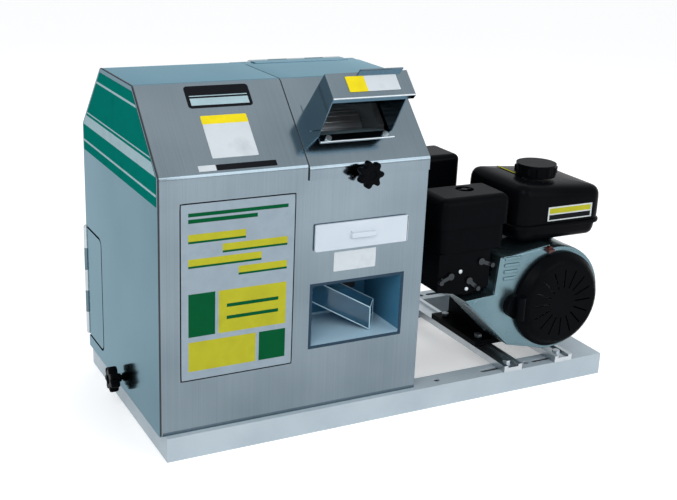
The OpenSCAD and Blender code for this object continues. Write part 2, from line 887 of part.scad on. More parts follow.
// leaf bent over the ridge to the knuckles behind it
module lid_hinge_leaf() {
  reach = hinge_drop - barrel_r - knuckle_gap;
  bend = leaf_foot / sin(slope_angle);
  translate([lid_hinge_x, back_ridge_y, ridge_top]) along_x(0, lid_hinge_l) polygon([
    [-leaf_w, 0],
    [bend, 0],
    down_slope(reach, leaf_foot),
    down_slope(reach, leaf_foot + leaf_t),
    [bend + leaf_t * slope_skew, leaf_t],
    [-leaf_w, leaf_t]
  ]);
  behind_ridge() {
    knuckle_webs(lid_hinge_l, 1, [hinge_drop - reach / 2, leaf_t / 2], [reach / 2, leaf_foot + leaf_t / 4]);
    translate([0, hinge_drop, hinge_rise]) knuckle_row(lid_hinge_l, 1);
  }
}

module roller_lid() color([0.60, 0.67, 0.69]) placed() {
  reach = sheet + lid_gap;
  difference() {
    union() {
      lid_hinge_leaf();
      along_x(lid_x, lid_w) polygon([
        [-reach, wall_top - lid_flange_h],
        [-reach, wall_top - reach],
        [slope_run, ridge_top],
        [back_ridge_y - leaf_foot, ridge_top],
        [back_ridge_y - leaf_foot, ridge_top - sheet],
        [slope_run + sheet * slope_skew, ridge_top - sheet],
        [-lid_gap, wall_top - lid_gap - sheet / cos(slope_angle)],
        [-lid_gap, wall_top - lid_flange_h]
      ]);
    }
    rod_x([lid_hinge_x - cut, hinge_axis[0], hinge_axis[1]], pin_r + run_clearance,
      lid_hinge_l + 2 * cut);
    on_slope() block([hopper_x + sheet, hopper_foot + sheet, -2 * sheet],
      [hopper_w - 2 * sheet, hopper_foot_l - 2 * sheet, 4 * sheet]);
    for (x = hopper_bolt_xs)
      on_slope() rod_z([x, hopper_foot - hopper_flange / 2, -2 * sheet], small_bolt_r, 4 * sheet);
    rod_y([front_knob_x, -2 * reach, front_knob_z], stud_r + bolt_clearance, 4 * reach);
    block([front_knob_x - stud_r - bolt_clearance, -2 * reach, front_knob_z - lid_flange_h],
      [2 * (stud_r + bolt_clearance), 4 * reach, lid_flange_h]);
  }
}

// side sheet of the hopper, drawn along the slope and off it
module hopper_side() {
  polygon([
    [hopper_foot, 0],
    [hopper_foot + hopper_foot_l, 0],
    [hopper_brow + hopper_brow_l, hopper_h],
    [hopper_brow, hopper_h]
  ]);
}

module feed_hopper() color([0.55, 0.63, 0.65]) placed() on_slope() difference() {
  union() {
    for (x = [hopper_x, hopper_x + hopper_w - sheet]) along_x(x, sheet) hopper_side();
    along_x(hopper_x, hopper_w) polygon([
      [hopper_foot + hopper_foot_l, 0],
      [hopper_brow + hopper_brow_l, hopper_h],
      [hopper_brow + hopper_brow_l - sheet, hopper_h],
      [hopper_foot + hopper_foot_l - sheet, 0]
    ]);
    block([hopper_x, hopper_brow, hopper_h - sheet], [brow_w, hopper_brow_l, sheet]);
    block([hopper_x, hopper_brow - sheet, hopper_h - hopper_lip], [brow_w, sheet, hopper_lip]);
    block([hopper_x + brow_w - hopper_tab_w - hopper_lip, hopper_brow + hopper_brow_l - sheet,
      hopper_h - sheet], [hopper_tab_w, sheet, hopper_tab_h + sheet]);
    block([hopper_x, hopper_foot - hopper_flange, 0], [hopper_w, hopper_flange + sheet, sheet]);
    for (x = [hopper_x - hopper_flange, hopper_x + hopper_w])
      block([x, hopper_foot + hopper_flange, 0], [hopper_flange, hopper_foot_l - hopper_flange, sheet]);
  }
  for (x = hopper_bolt_xs) rod_z([x, hopper_foot - hopper_flange / 2, -sheet], small_bolt_r, 3 * sheet);
}

module hopper_bolts() color([0.75, 0.78, 0.80]) placed() {
  for (x = hopper_bolt_xs)
    on_slope() translate([x, hopper_foot - hopper_flange / 2, sheet]) small_bolt(2 * sheet);
}

// one row of knuckles along X about the origin, every second one
module knuckle_row(length, first) {
  pitch = length / knuckles;
  for (i = [first : 2 : knuckles - 1])
    rod_x([i * pitch + knuckle_gap / 2, 0, 0], barrel_r, pitch - knuckle_gap);
}

module knuckle_webs(length, first, size, at) {
  pitch = length / knuckles;
  for (i = [first : 2 : knuckles - 1])
    block([i * pitch + knuckle_gap / 2, at[0], at[1]], [pitch - knuckle_gap, size[0], size[1]]);
}

// lobed knob along +Z on its moulded-in stud, the collar starting at z = 0
module star_knob(stud_l) {
  rod_z([0, 0, -stud_l], stud_r, stud_l + knob_collar_l);
  rod_z([0, 0, 0], knob_collar_r, knob_collar_l);
  difference() {
    union() {
      rod_z([0, 0, knob_collar_l], knob_r - knob_lobe_r * lobe_root_share, knob_t);
      for (i = [0 : knob_lobes - 1])
        rotate(i * 360 / knob_lobes) rod_z([knob_r - knob_lobe_r, 0, knob_collar_l], knob_lobe_r, knob_t);
    }
    rod_z([0, 0, knob_collar_l + knob_t - knob_dish], knob_collar_r, 2 * knob_dish);
  }
}

module lid_knob() color([0.05, 0.05, 0.06]) placed()
  translate([front_knob_x, -front_knob_gap, front_knob_z]) rotate([90, 0, 0])
    star_knob(front_knob_gap + sheet + stud_nut_t);

module side_knob() color([0.05, 0.05, 0.06]) placed()
  translate([-side_knob_gap, side_knob_y, side_knob_z]) rotate([0, -90, 0])
    star_knob(side_knob_gap + sheet + stud_nut_t);

module fixed_hinge_leaves() color([0.70, 0.72, 0.74]) placed() {
  behind_ridge() difference() {
    union() {
      block([0, hinge_drop + barrel_r + knuckle_gap, 0], [lid_hinge_l, leaf_w - barrel_r, leaf_t]);
      knuckle_webs(lid_hinge_l, 0, [barrel_r + knuckle_gap, leaf_t], [hinge_drop, 0]);
      translate([0, hinge_drop, hinge_rise]) knuckle_row(lid_hinge_l, 0);
    }
    rod_x([-cut, hinge_drop, hinge_rise], pin_r + run_clearance, lid_hinge_l + 2 * cut);
  }
  difference() {
    union() {
      block([sheet / 2 + barrel_r, cabinet_d, flap_z], [leaf_w, leaf_t, flap_h]);
      flap_turned() {
        knuckle_webs(flap_h, 0, [leaf_t, barrel_r], [-barrel_r, -barrel_r]);
        knuckle_row(flap_h, 0);
      }
    }
    flap_turned() rod_x([-cut, 0, 0], pin_r + run_clearance, flap_h + 2 * cut);
  }
}

module hinge_pin(length) {
  rod_x([knuckle_gap / 2 - pin_r, 0, 0], pin_r, length - knuckle_gap + 2 * pin_r);
  for (x = [knuckle_gap / 2 - pin_r, length - knuckle_gap / 2])
    rod_x([x, 0, 0], barrel_r * head_share, pin_r);
}

module hinge_pins() color([0.72, 0.74, 0.76]) placed() {
  translate([lid_hinge_x, hinge_axis[0], hinge_axis[1]]) hinge_pin(lid_hinge_l);
  flap_turned() hinge_pin(flap_h);
}

module flap_turned() {
  translate([sheet / 2, cabinet_d + barrel_r, flap_z]) rotate([0, -90, 0]) children();
}

module access_flap() color([0.60, 0.68, 0.70]) placed() difference() {
  union() {
    along_x(0, sheet - lid_gap) {
      rounded_rect([flap_y, flap_z], [flap_w - flap_corner_r, flap_h], flap_corner_r);
      translate([flap_y + flap_corner_r, flap_z]) square([flap_w - flap_corner_r, flap_h]);
    }
    flap_turned() {
      knuckle_webs(flap_h, 1, [barrel_r + knuckle_gap, sheet - lid_gap],
        [-barrel_r - knuckle_gap, lid_gap - sheet / 2]);
      knuckle_row(flap_h, 1);
    }
  }
  flap_turned() rod_x([-cut, 0, 0], pin_r + run_clearance, flap_h + 2 * cut);
}

module drawer_front() color([0.93, 0.94, 0.95]) placed() {
  middle = [drawer_x + drawer_w / 2, drawer_z + drawer_h / 2];
  along_y(-lid_gap - drawer_front_t, drawer_front_t)
    rounded_rect([drawer_x, drawer_z], [drawer_w, drawer_h], pull_d / 2);
  along_y(-lid_gap - drawer_front_t - pull_d, pull_d)
    rounded_rect([middle[0] - pull_w / 2, middle[1] - pull_h / 2], [pull_w, pull_h], pull_h / 3);
}

module strainer_tray() color([0.72, 0.75, 0.77]) placed() {
  width = mill_w - 2 * tray_inset;
  length = tray_d + lid_gap;
  pitch = (length - 2 * strainer_margin) / strainer_rows;
  column = (width - 2 * strainer_margin) / strainer_columns;
  translate([mill_x + tray_inset, -lid_gap, drawer_z + tray_lift]) difference() {
    cube([width, length, tray_h]);
    block([tray_sheet, tray_sheet, tray_sheet], [width - 2 * tray_sheet, length - 2 * tray_sheet, tray_h]);
    for (i = [0 : strainer_rows - 1])
      for (j = [0 : strainer_columns - 1])
        block([strainer_margin + (j + (1 - strainer_open_share) / 2) * column,
          strainer_margin + (i + 1 / 2) * pitch - strainer_slot_w / 2, -tray_sheet],
          [column * strainer_open_share, strainer_slot_w, 3 * tray_sheet]);
  }
}

module niche_box() color([0.55, 0.75, 0.90, 0.45]) placed() difference() {
  block([niche_x - clear_sheet, 0, niche_z - clear_sheet],
    [niche_w + 2 * clear_sheet, niche_d + clear_sheet, niche_h + 2 * clear_sheet]);
  block([niche_x, -clear_sheet, niche_z], [niche_w, niche_d + clear_sheet, niche_h]);
  block([niche_x + niche_w * niche_mouth_share, funnel_mouth_y, niche_z + niche_h - clear_sheet],
    [niche_w * (1 - 2 * niche_mouth_share), funnel_mouth_l, 3 * clear_sheet]);
}

module juice_chute() color([0.65, 0.82, 0.95, 0.45]) placed()
  translate([niche_x + niche_w * chute_x_share, niche_d * chute_y_share, niche_z]) rotate(chute_turn)
    difference() {
      translate([0, chute_w / 2, 0]) rotate([90, 0, 0]) linear_extrude(chute_w) polygon([
        [0, 0],
        [chute_l, chute_rise],
        [chute_l, chute_rise + chute_w],
        [0, chute_w]
      ]);
      translate([0, chute_w / 2 - chute_sheet, 0]) rotate([90, 0, 0])
        linear_extrude(chute_w - 2 * chute_sheet) polygon([
          [chute_sheet, chute_sheet + chute_sheet * chute_rise / chute_l],
          [2 * chute_l, chute_sheet + 2 * chute_rise],
          [2 * chute_l, chute_rise + 3 * chute_w],
          [chute_sheet, 2 * chute_w]
        ]);
    }

module juice_funnel() color([0.70, 0.73, 0.75]) placed() difference() {
  union() {
    along_x(mill_x, mill_w) polygon([
      [funnel_front_y, funnel_low_z],
      [cheek_back_y, funnel_high_z],
      [cheek_back_y, funnel_high_z + sheet],
      [funnel_front_y, funnel_low_z + sheet]
    ]);
    block([mill_x, funnel_front_y, funnel_low_z], [mill_w, sheet, funnel_high_z - funnel_low_z]);
    for (x = [mill_x, right_cheek_x - sheet]) along_x(x, sheet) polygon([
      [funnel_front_y, funnel_low_z],
      [cheek_back_y, funnel_high_z],
      [funnel_front_y, funnel_high_z]
    ]);
  }
  block([mill_x + 2 * sheet, funnel_mouth_y, funnel_low_z - cheek_t],
    [mill_w - 4 * sheet, funnel_mouth_l / 2, 3 * cheek_t]);
}

module cheek(x) {
  along_x(x, cheek_t) difference() {
    polygon([
      [cheek_leg_y, floor_z],
      [cheek_back_y, floor_z],
      [cheek_back_y, cheek_top - cheek_chamfer],
      [cheek_back_y - cheek_chamfer, cheek_top],
      [cheek_front_y + cheek_chamfer, cheek_top],
      [cheek_front_y, cheek_top - cheek_chamfer],
      [cheek_front_y, cheek_knee_z],
      [cheek_leg_y, cheek_knee_z]
    ]);
    for (axis = roller_axes) translate(axis) circle(bush_r);
    for (axis = tie_axes) translate(axis) circle(bolt_r);
  }
}

// welded frame of the mill: both cheeks, the guides between them and the runners of the drawer
module mill_frame() color([0.45, 0.48, 0.50]) placed() {
  runner_w = 2 * tray_inset;
  cheek(mill_x - cheek_t);
  cheek(right_cheek_x);
  for (x = [mill_x, right_cheek_x - runner_w])
    block([x, cheek_front_y, drawer_z + tray_lift - tray_gap - runner_t],
      [runner_w, cheek_back_y - cheek_front_y, runner_t]);
  along_x(mill_x, mill_w) {
    polygon([
      [cheek_front_y, guide_top_z],
      [feed_roller_y, guide_low_z],
      [feed_roller_y, guide_low_z + sheet],
      [cheek_front_y, guide_top_z + sheet]
    ]);
    polygon([
      [out_roller_y, guide_low_z],
      [guide_end_y, guide_end_z],
      [guide_end_y, guide_end_z + sheet],
      [out_roller_y, guide_low_z + sheet]
    ]);
    polygon([
      [top_roller_y - turn_plate_w / 2, turn_plate_z],
      [top_roller_y + turn_plate_w / 2, turn_plate_z],
      [top_roller_y + turn_plate_w / 4, turn_plate_z - turn_plate_w],
      [top_roller_y - turn_plate_w / 4, turn_plate_z - turn_plate_w]
    ]);
  }
}

module cheek_ties() color([0.68, 0.70, 0.72]) placed() for (axis = tie_axes) {
  rod_x([mill_x, axis[0], axis[1]], 2 * bolt_r, mill_w);
  rod_x([mill_x - cheek_t - bolt_head_h, axis[0], axis[1]], bolt_r, mill_w + 2 * cheek_t + 2 * bolt_head_h);
  for (x = [mill_x - cheek_t - bolt_head_h, right_cheek_x + cheek_t])
    rod_x([x, axis[0], axis[1]], bolt_head_r, bolt_head_h, $fn = 6);
}

module bearing_bushes() color([0.72, 0.55, 0.28]) placed()
  for (axis = roller_axes)
    for (x = [mill_x - cheek_t, right_cheek_x])
      along_x(x, cheek_t) translate(axis) difference() {
        circle(bush_r);
        circle(roller_shaft_r + run_clearance);
      }

module roller(axis, shaft_start) {
  along_x(roller_ends[0], roller_ends[1] - roller_ends[0]) translate(axis) difference() {
    circle(roller_r);
    for (i = [0 : roller_grooves - 1])
      rotate(i * 360 / roller_grooves) translate([roller_r, 0]) circle(groove_r);
  }
  rod_x([shaft_start, axis[0], axis[1]], roller_shaft_r, gear_x + gear_w - shaft_start);
}

module top_roller() color([0.74, 0.76, 0.78]) placed() roller(roller_axes[0], input_x + roller_end_play);

module feed_roller() color([0.74, 0.76, 0.78]) placed()
  roller(roller_axes[1], mill_x - cheek_t - roller_end_play);

module discharge_roller() color([0.74, 0.76, 0.78]) placed()
  roller(roller_axes[2], mill_x - cheek_t - roller_end_play);

// gear in its plane about the origin, one tooth centred on the given angle
module gear_outline(phase) {
  pitch_r = roller_centres / 2;
  addendum = pitch_r * 2 / gear_teeth * addendum_share;
  root_r = pitch_r - pitch_r * 2 / gear_teeth * dedendum_share;
  half_pitch = 90 / gear_teeth - gear_backlash / pitch_r * 90 / PI;
  half_tip = half_pitch * tip_share;
  half_root = half_pitch * root_share;
  difference() {
    union() {
      circle(root_r);
      for (i = [0 : gear_teeth - 1]) rotate(phase + i * 360 / gear_teeth) polygon([
        [(root_r - groove_r) * cos(half_root), -(root_r - groove_r) * sin(half_root)],
        [pitch_r * cos(half_pitch), -pitch_r * sin(half_pitch)],
        [(pitch_r + addendum) * cos(half_tip), -(pitch_r + addendum) * sin(half_tip)],
        [(pitch_r + addendum) * cos(half_tip), (pitch_r + addendum) * sin(half_tip)],
        [pitch_r * cos(half_pitch), pitch_r * sin(half_pitch)],
        [(root_r - groove_r) * cos(half_root), (root_r - groove_r) * sin(half_root)]
      ]);
    }
    circle(roller_shaft_r);
  }
}

module roller_gear(axis, phase) {
  along_x(gear_x, gear_w) translate(axis) gear_outline(phase);
}

// a follower's phase mirrors the top gear's tooth about the line of centres
function mesh_phase(line) = 2 * line + 180 + 180 / gear_teeth;

module top_gear() color([0.50, 0.52, 0.54]) placed() roller_gear(roller_axes[0], 0);

module feed_gear() color([0.50, 0.52, 0.54]) placed()
  roller_gear(roller_axes[1], mesh_phase(-90 - roller_spread));

module discharge_gear() color([0.50, 0.52, 0.54]) placed()
  roller_gear(roller_axes[2], mesh_phase(roller_spread - 90));

module gearbox_housing() color([0.36, 0.40, 0.43]) placed() difference() {
  union() {
    rod_x([gearbox_x, top_roller_y, top_roller_z], gear_case_r, gearbox_w);
    for (x = [gearbox_x - case_rim_t, gearbox_x + gearbox_w])
      rod_x([x, top_roller_y, top_roller_z], 2 * roller_shaft_r, case_rim_t);
    rod_y([input_x, top_roller_y - worm_case_l / 2, input_z], worm_case_r, worm_case_l);
    for (i = [0 : case_ribs - 1])
      rod_y([input_x, top_roller_y - worm_case_l / 2 + (i + 1 / 2) * worm_case_l / case_ribs, input_z],
        worm_case_r + case_rim_t, case_rim_t);
    block([gearbox_x, top_roller_y - gear_case_r, gearbox_foot_z],
      [gearbox_w, 2 * gear_case_r, case_rim_t * 2]);
    block([input_x - worm_case_r * neck_share, top_roller_y - worm_case_l / 4, gearbox_foot_z],
      [2 * worm_case_r * neck_share, worm_case_l / 2, top_roller_z - gearbox_foot_z]);
  }
  rod_x([input_x, top_roller_y, top_roller_z], roller_shaft_r + run_clearance, gearbox_w);
  rod_y([input_x, top_roller_y + worm_case_l / 4, input_z], input_shaft_r + run_clearance, worm_case_l);
  for (at = gearbox_bolts_at)
    rod_z([at[0], at[1], gearbox_foot_z - cut], bolt_r + run_clearance, 4 * case_rim_t);
}

module gearbox_stand() color([0.78, 0.82, 0.86]) placed() difference() {
  along_y(top_roller_y - gear_case_r, 2 * gear_case_r) difference() {
    union() {
      translate([gearbox_x, floor_z]) square([gearbox_w, gearbox_foot_z - floor_z]);
      translate([gearbox_x - tube_size / 2, floor_z]) square([gearbox_w + tube_size, stand_sheet]);
    }
    translate([gearbox_x + stand_sheet, floor_z - stand_sheet])
      square([gearbox_w - 2 * stand_sheet, gearbox_foot_z - floor_z]);
  }
  for (at = gearbox_bolts_at) rod_z([at[0], at[1], gearbox_foot_z - 2 * stand_sheet], bolt_r + run_clearance,
    4 * stand_sheet);
}

module driven_pulley() color([0.30, 0.32, 0.34]) placed() {
  rod_y([input_x, top_roller_y + worm_case_l / 4 + roller_end_play, input_z], input_shaft_r,
    belt_y + pulley_w / 2 + shaft_stub - top_roller_y - worm_case_l / 4 - roller_end_play);
  translate([input_x, belt_y, input_z]) rotate([90, 0, 0]) difference() {
    pulley(driven_r, input_shaft_r - belt_gap);
    for (i = [0 : pulley_holes - 1]) rotate(i * 360 / pulley_holes)
      rod_z([driven_r * pulley_hole_share, 0, -pulley_w], driven_r * pulley_hole_r_share, 2 * pulley_w);
  }
}

// grooved pulley about local Z, centred on the belt plane
module pulley(rim_r, bore_r) {
  foot_r = rim_r - belt_h;
  floor_r = foot_r - 2 * belt_gap;
  rotate_extrude() polygon([
    [bore_r, -pulley_w / 2],
    [rim_r, -pulley_w / 2],
    [rim_r, -belt_top_w / 2 - belt_gap],
    [foot_r, -belt_foot_w / 2 - belt_gap],
    [floor_r, -belt_foot_w / 2],
    [floor_r, belt_foot_w / 2],
    [foot_r, belt_foot_w / 2 + belt_gap],
    [rim_r, belt_top_w / 2 + belt_gap],
    [rim_r, pulley_w / 2],
    [bore_r, pulley_w / 2]
  ]);
}

module drive_pulley() color([0.30, 0.32, 0.34]) placed()
  translate([crank_x, belt_y, crank_z]) rotate([90, 0, 0]) pulley(drive_r, crank_r);

module belt_section(rim_r) {
  polygon([
    [rim_r - belt_h, -belt_foot_w / 2],
    [rim_r, -belt_top_w / 2],
    [rim_r, belt_top_w / 2],
    [rim_r - belt_h, belt_foot_w / 2]
  ]);
}

// open belt: arcs on both pulleys joined by two straight runs, drawn from the engine pulley along local X
module drive_belt() color([0.06, 0.06, 0.07]) placed()
  translate([crank_x, belt_y, crank_z]) rotate([90, 0, 0]) rotate(180 - belt_lean) {
    rotate(90 + belt_wrap) rotate_extrude(angle = 180 - 2 * belt_wrap) belt_section(drive_r);
    translate([pulley_centres, 0, 0]) rotate(-90 - belt_wrap)
      rotate_extrude(angle = 180 + 2 * belt_wrap) belt_section(driven_r);
    for (side = [0, 1]) mirror([0, side, 0]) rotate(belt_wrap)
      along_x(0, pulley_centres * cos(belt_wrap)) belt_section(drive_r);
  }

// guard outline in the XZ plane, set in by a wall
module guard_outline(inset) {
  reach = drive_r + guard_room - inset;
  translate([crank_x, crank_z]) circle(reach);
  polygon([
    [crank_x + reach * sin(belt_lean), crank_z + reach * cos(belt_lean)],
    [cabinet_w, guard_high - inset],
    [cabinet_w, guard_low + inset],
    [crank_x - reach * sin(belt_lean), crank_z - reach * cos(belt_lean)]
  ]);
}

// closed guard, open only to the belt windows of the cabinet and to the crankshaft
module belt_guard() color([0.12, 0.13, 0.14]) placed() {
  difference() {
    along_y(guard_y, guard_d) guard_outline(0);
    along_y(guard_y + guard_sheet, guard_d - 2 * guard_sheet) {
      guard_outline(guard_sheet);
      translate([cabinet_w - guard_sheet, guard_low + guard_sheet])
        square([3 * guard_sheet, guard_high - guard_low - 2 * guard_sheet]);
    }
    rod_y([crank_x, guard_y - cut, crank_z], crank_r + guard_room / 2, 2 * cut);
  }
  for (at = guard_stays) rod_y([at[0], block_back_y, at[1]], bolt_r * 2, guard_y - block_back_y);
}

// frame on the crank axis at the recoil cover's front
module at_recoil() {
  at_crank() translate([0, -recoil_front, 0]) children();
}

module at_crank() {
  placed() translate([crank_x, 0, crank_z]) children();
}

// local Z runs along the tilted cylinder away from the crankshaft, local Y along the crankshaft
module on_cylinder() {
  placed() translate([crank_x, block_y + block_l / 2, crank_z]) rotate([0, cylinder_tilt - 90, 0]) children();
}

module fin(along) {
  translate([0, 0, along]) linear_extrude(fin_t)
    rounded_rect([-fin_side / 2, -fin_side / 2], [fin_side, fin_side], fin_t * 3);
}

module engine_block() color([0.62, 0.68, 0.70]) {
  difference() {
    union() {
      placed() {
        block([left_rail_x - engine_rail_w / 2, block_y, rail_top],
          [right_rail_x - left_rail_x + engine_rail_w, block_l, foot_t]);
        block([left_rail_x + engine_rail_w / 2, block_y, rail_top],
          [right_rail_x - left_rail_x - engine_rail_w, block_l, case_h / 2]);
        along_y(block_y, block_l)
          rounded_rect([crank_x - case_w / 2, case_bottom], [case_w, case_h], case_corner_r);
        for (x = [crank_x - case_w / 4 + case_corner_r, crank_x + case_w / 4])
          block([x, block_y + tank_wall, case_bottom + case_h / 2],
            [tank_wall * 4, tank_y + tank_d - 2 * tank_round - block_y,
              tank_bottom - case_bottom - case_h / 2]);
      }
      on_cylinder() {
        cylinder(r = barrel_core_r, h = barrel_end);
        for (i = [0 : barrel_fins - 1]) fin(fin_start + i * fin_pitch);
      }
    }
    placed() {
      for (x = rail_xs)
        for (y = foot_ys) rod_z([x, y, rail_top - cut], bolt_r + bolt_clearance, foot_t + 2 * cut);
      rod_y([crank_x, block_y - cut, crank_z], crank_r + run_clearance, block_l + 2 * cut);
      rod_x([case_right - dipstick_l, dipstick_y, dipstick_z], dipstick_r + run_clearance, dipstick_l + cut);
    }
  }
}

module cylinder_head() color([0.60, 0.66, 0.68]) on_cylinder() {
  rod_z([0, 0, barrel_end], barrel_core_r, head_end - barrel_end);
  for (i = [1 : head_fins]) fin(barrel_end + i * fin_pitch - fin_t);
}

module rocker_cover() color([0.10, 0.10, 0.11]) on_cylinder()
  translate([0, 0, head_end]) linear_extrude(rocker_l)
    rounded_rect([-fin_side * rocker_share / 2, -fin_side * rocker_share / 2],
      [fin_side * rocker_share, fin_side * rocker_share], fin_t * 4);

module spark_plug() color([0.08, 0.08, 0.09]) on_cylinder() {
  translate([-fin_side * plug_share, fin_side / 2, (barrel_end + head_end) / 2]) rotate([-90, 0, 0]) {
    cylinder(r = plug_r, h = plug_l);
    translate([0, 0, plug_l]) cylinder(r = plug_r * head_share, h = plug_r);
  }
}

// disc cut off by a flat on the cylinder side
module shroud_disc(radius, left) {
  intersection() {
    circle(radius);
    translate([left, -radius]) square(2 * radius);
  }
}

module fan_shroud() color([0.62, 0.69, 0.71]) at_crank() difference() {
  union() {
    along_y(shroud_y, block_y - shroud_y) {
      shroud_disc(shroud_r, shroud_left);
      polygon(shroud_arm);
    }
    for (i = [0 : shroud_ribs - 1])
      block([shroud_arm[2][0] + shroud_wall * 3, shroud_y - shroud_wall,
        shroud_arm[2][1] - shroud_wall * 2 - i * shroud_wall * 4],
        [shroud_r * rib_share - i * shroud_wall, shroud_wall, shroud_wall * 2]);
  }
  along_y(shroud_y + shroud_wall, block_y - shroud_y - 2 * shroud_wall) {
    shroud_disc(shroud_r - shroud_wall, shroud_left + shroud_wall);
    polygon(shroud_arm_inside);
  }
  rod_y([0, shroud_y - 2 * shroud_wall, 0], recoil_r - 3 * shroud_wall, block_y - shroud_y);
  rod_y([0, shroud_y, 0], shroud_r * rear_mouth_share, block_y);
}

module recoil_cover() color([0.05, 0.05, 0.06]) at_recoil() difference() {
  union() {
    rotate([-90, 0, 0]) rotate_extrude() polygon([
      [0, 0],
      [recoil_flat_r, 0],
      [(recoil_flat_r + recoil_r) / 2, recoil_bow],
      [recoil_r, 3 * recoil_bow],
      [recoil_r, recoil_d],
      [0, recoil_d]
    ]);
    rod_y([-recoil_r, 2 * recoil_bow, 0], grip_boss_r, recoil_d - 2 * recoil_bow);
  }
  rod_y([0, recoil_wall, 0], recoil_flat_r - recoil_wall, recoil_d);
  for (i = [0 : recoil_slots - 1]) rotate([0, i * 360 / recoil_slots, 0])
    block([recoil_flat_r * slot_shares[0], -cut, -recoil_wall / 2],
      [recoil_flat_r * (slot_shares[1] - slot_shares[0]), cut + recoil_d, recoil_wall]);
  rod_y([-recoil_r, 0, 0], grip_stem_r + run_clearance, recoil_d - recoil_wall);
}

module starter_grip() color([0.06, 0.06, 0.07]) at_recoil() {
  bar_y = 2 * recoil_bow - grip_r;
  rod_y([-recoil_r, bar_y, 0], grip_stem_r, recoil_d - 2 * recoil_wall - bar_y);
  rod_z([-recoil_r, bar_y, -grip_l / 2], grip_r, grip_l);
}

// crankshaft with the flywheel and its fan keyed on
module crankshaft() color([0.55, 0.57, 0.59]) at_crank() {
  rod_y([0, flywheel_y - flywheel_t / 2, 0], crank_r,
    belt_y + pulley_w / 2 + shaft_stub - flywheel_y + flywheel_t / 2);
  rod_y([0, flywheel_y, 0], flywheel_r, flywheel_t);
  for (i = [0 : fan_blades - 1]) rotate([0, i * 360 / fan_blades, 0])
    block([flywheel_r * blade_share, flywheel_y - flywheel_t / 2, -fin_t / 2],
      [flywheel_r * (1 - blade_share) - fin_t, flywheel_t, fin_t]);
}

// tank body, its right side lowered by the fall, with the inset for the wall all round
module tank_form(inset) {
  left = tank_x + inset;
  right = tank_x + tank_w - inset;
  front = tank_y + inset;
  back = tank_y + tank_d - inset;
  low = tank_bottom + inset;
  high = tank_top - inset;
  intersection() {
    translate([0, 0, low]) linear_extrude(high - low)
      rounded_rect([left, front], [right - left, back - front], tank_round - inset);
    along_y(front, back - front) polygon([
      [left + tank_bevel, low],
      [right - tank_bevel, low],
      [right, low + tank_bevel],
      [right, high - tank_fall - tank_bevel],
      [right - tank_bevel, high - tank_fall],
      [left + tank_bevel, high],
      [left, high - tank_bevel],
      [left, low + tank_bevel]
    ]);
    along_x(left, right - left) polygon([
      [front + tank_bevel, low],
      [back - tank_bevel, low],
      [back, low + tank_bevel],
      [back, high - tank_fall - tank_bevel],
      [back - tank_fall - tank_bevel, high],
      [front + tank_fall + tank_bevel, high],
      [front, high - tank_fall - tank_bevel],
      [front, low + tank_bevel]
    ]);
  }
}

module fuel_tank() color([0.05, 0.06, 0.07]) placed() difference() {
  union() {
    tank_form(0);
    translate([0, 0, tank_seam_z - seam_t / 2]) linear_extrude(seam_t)
      rounded_rect([tank_x - seam_reach, tank_y - seam_reach],
        [tank_w + 2 * seam_reach, tank_d + 2 * seam_reach], tank_round);
    rod_z([cap_x, cap_y, tank_top - tank_round - tank_fall], neck_r, neck_rise + tank_round + tank_fall);
  }
  tank_form(tank_wall);
  rod_z([cap_x, cap_y, tank_top - 2 * tank_round], neck_r - neck_wall, 3 * tank_round);
}

module fuel_cap() color([0.06, 0.06, 0.07]) placed() translate([cap_x, cap_y, neck_top]) difference() {
  union() {
    rod_z([0, 0, -cap_skirt], cap_r - cap_grip_r / 2, cap_skirt + cap_h);
    for (i = [0 : cap_grips - 1]) rotate(i * 360 / cap_grips)
      rod_z([cap_r - cap_grip_r, 0, 0], cap_grip_r, cap_h - cap_grip_r);
  }
  rod_z([0, 0, -2 * cap_skirt], neck_r + run_clearance, 2 * cap_skirt);
}

module cleaner_case() color([0.06, 0.07, 0.08]) placed()
  translate([0, 0, cleaner_top - cleaner_cover_h - cleaner_case_h]) linear_extrude(cleaner_case_h)
    rounded_rect([cleaner_x + tank_wall, cleaner_y + tank_wall],
      [cleaner_w - 2 * tank_wall, cleaner_d - 2 * tank_wall], cleaner_round);

module cleaner_cover() color([0.06, 0.07, 0.09]) placed() {
  difference() {
    hull() {
      translate([0, 0, cleaner_top - cleaner_cover_h]) linear_extrude(cleaner_cover_h - cleaner_round)
        rounded_rect([cleaner_x, cleaner_y], [cleaner_w, cleaner_d], cleaner_round, $fn = 32);
      for (x = [cleaner_x + cleaner_round, cleaner_x + cleaner_w - cleaner_round])
        for (y = [cleaner_y + cleaner_round, cleaner_y + cleaner_d - cleaner_round])
          translate([x, y, cleaner_top - cleaner_round]) sphere(cleaner_round, $fn = 32);
    }
    rod_z([nut_x, nut_y, cleaner_top - nut_recess], nut_recess_r, 2 * nut_recess);
  }
  translate([nut_x, nut_y, cleaner_top - 2 * nut_recess]) {
    cylinder(r = nut_recess_r * nut_share, h = 2 * nut_recess);
    block([-nut_recess_r * wing_share, -tank_wall / 4, nut_recess / 2],
      [2 * nut_recess_r * wing_share, tank_wall / 2, nut_recess * 3 / 2]);
  }
}

module control_cover() color([0.06, 0.06, 0.07]) placed() difference() {
  along_y(control_y, control_d) polygon([
    [cleaner_x + tank_wall, control_z + control_d / 6],
    [cleaner_x + cleaner_w * control_share, control_z],
    [control_right, control_z + control_d / 6],
    [control_right, control_top],
    [cleaner_x + tank_wall, control_top]
  ]);
  for (lever = levers)
    rod_y([lever[0], control_y - cut, lever[1]], lever_pin_r + run_clearance, control_d / 2 + cut);
}

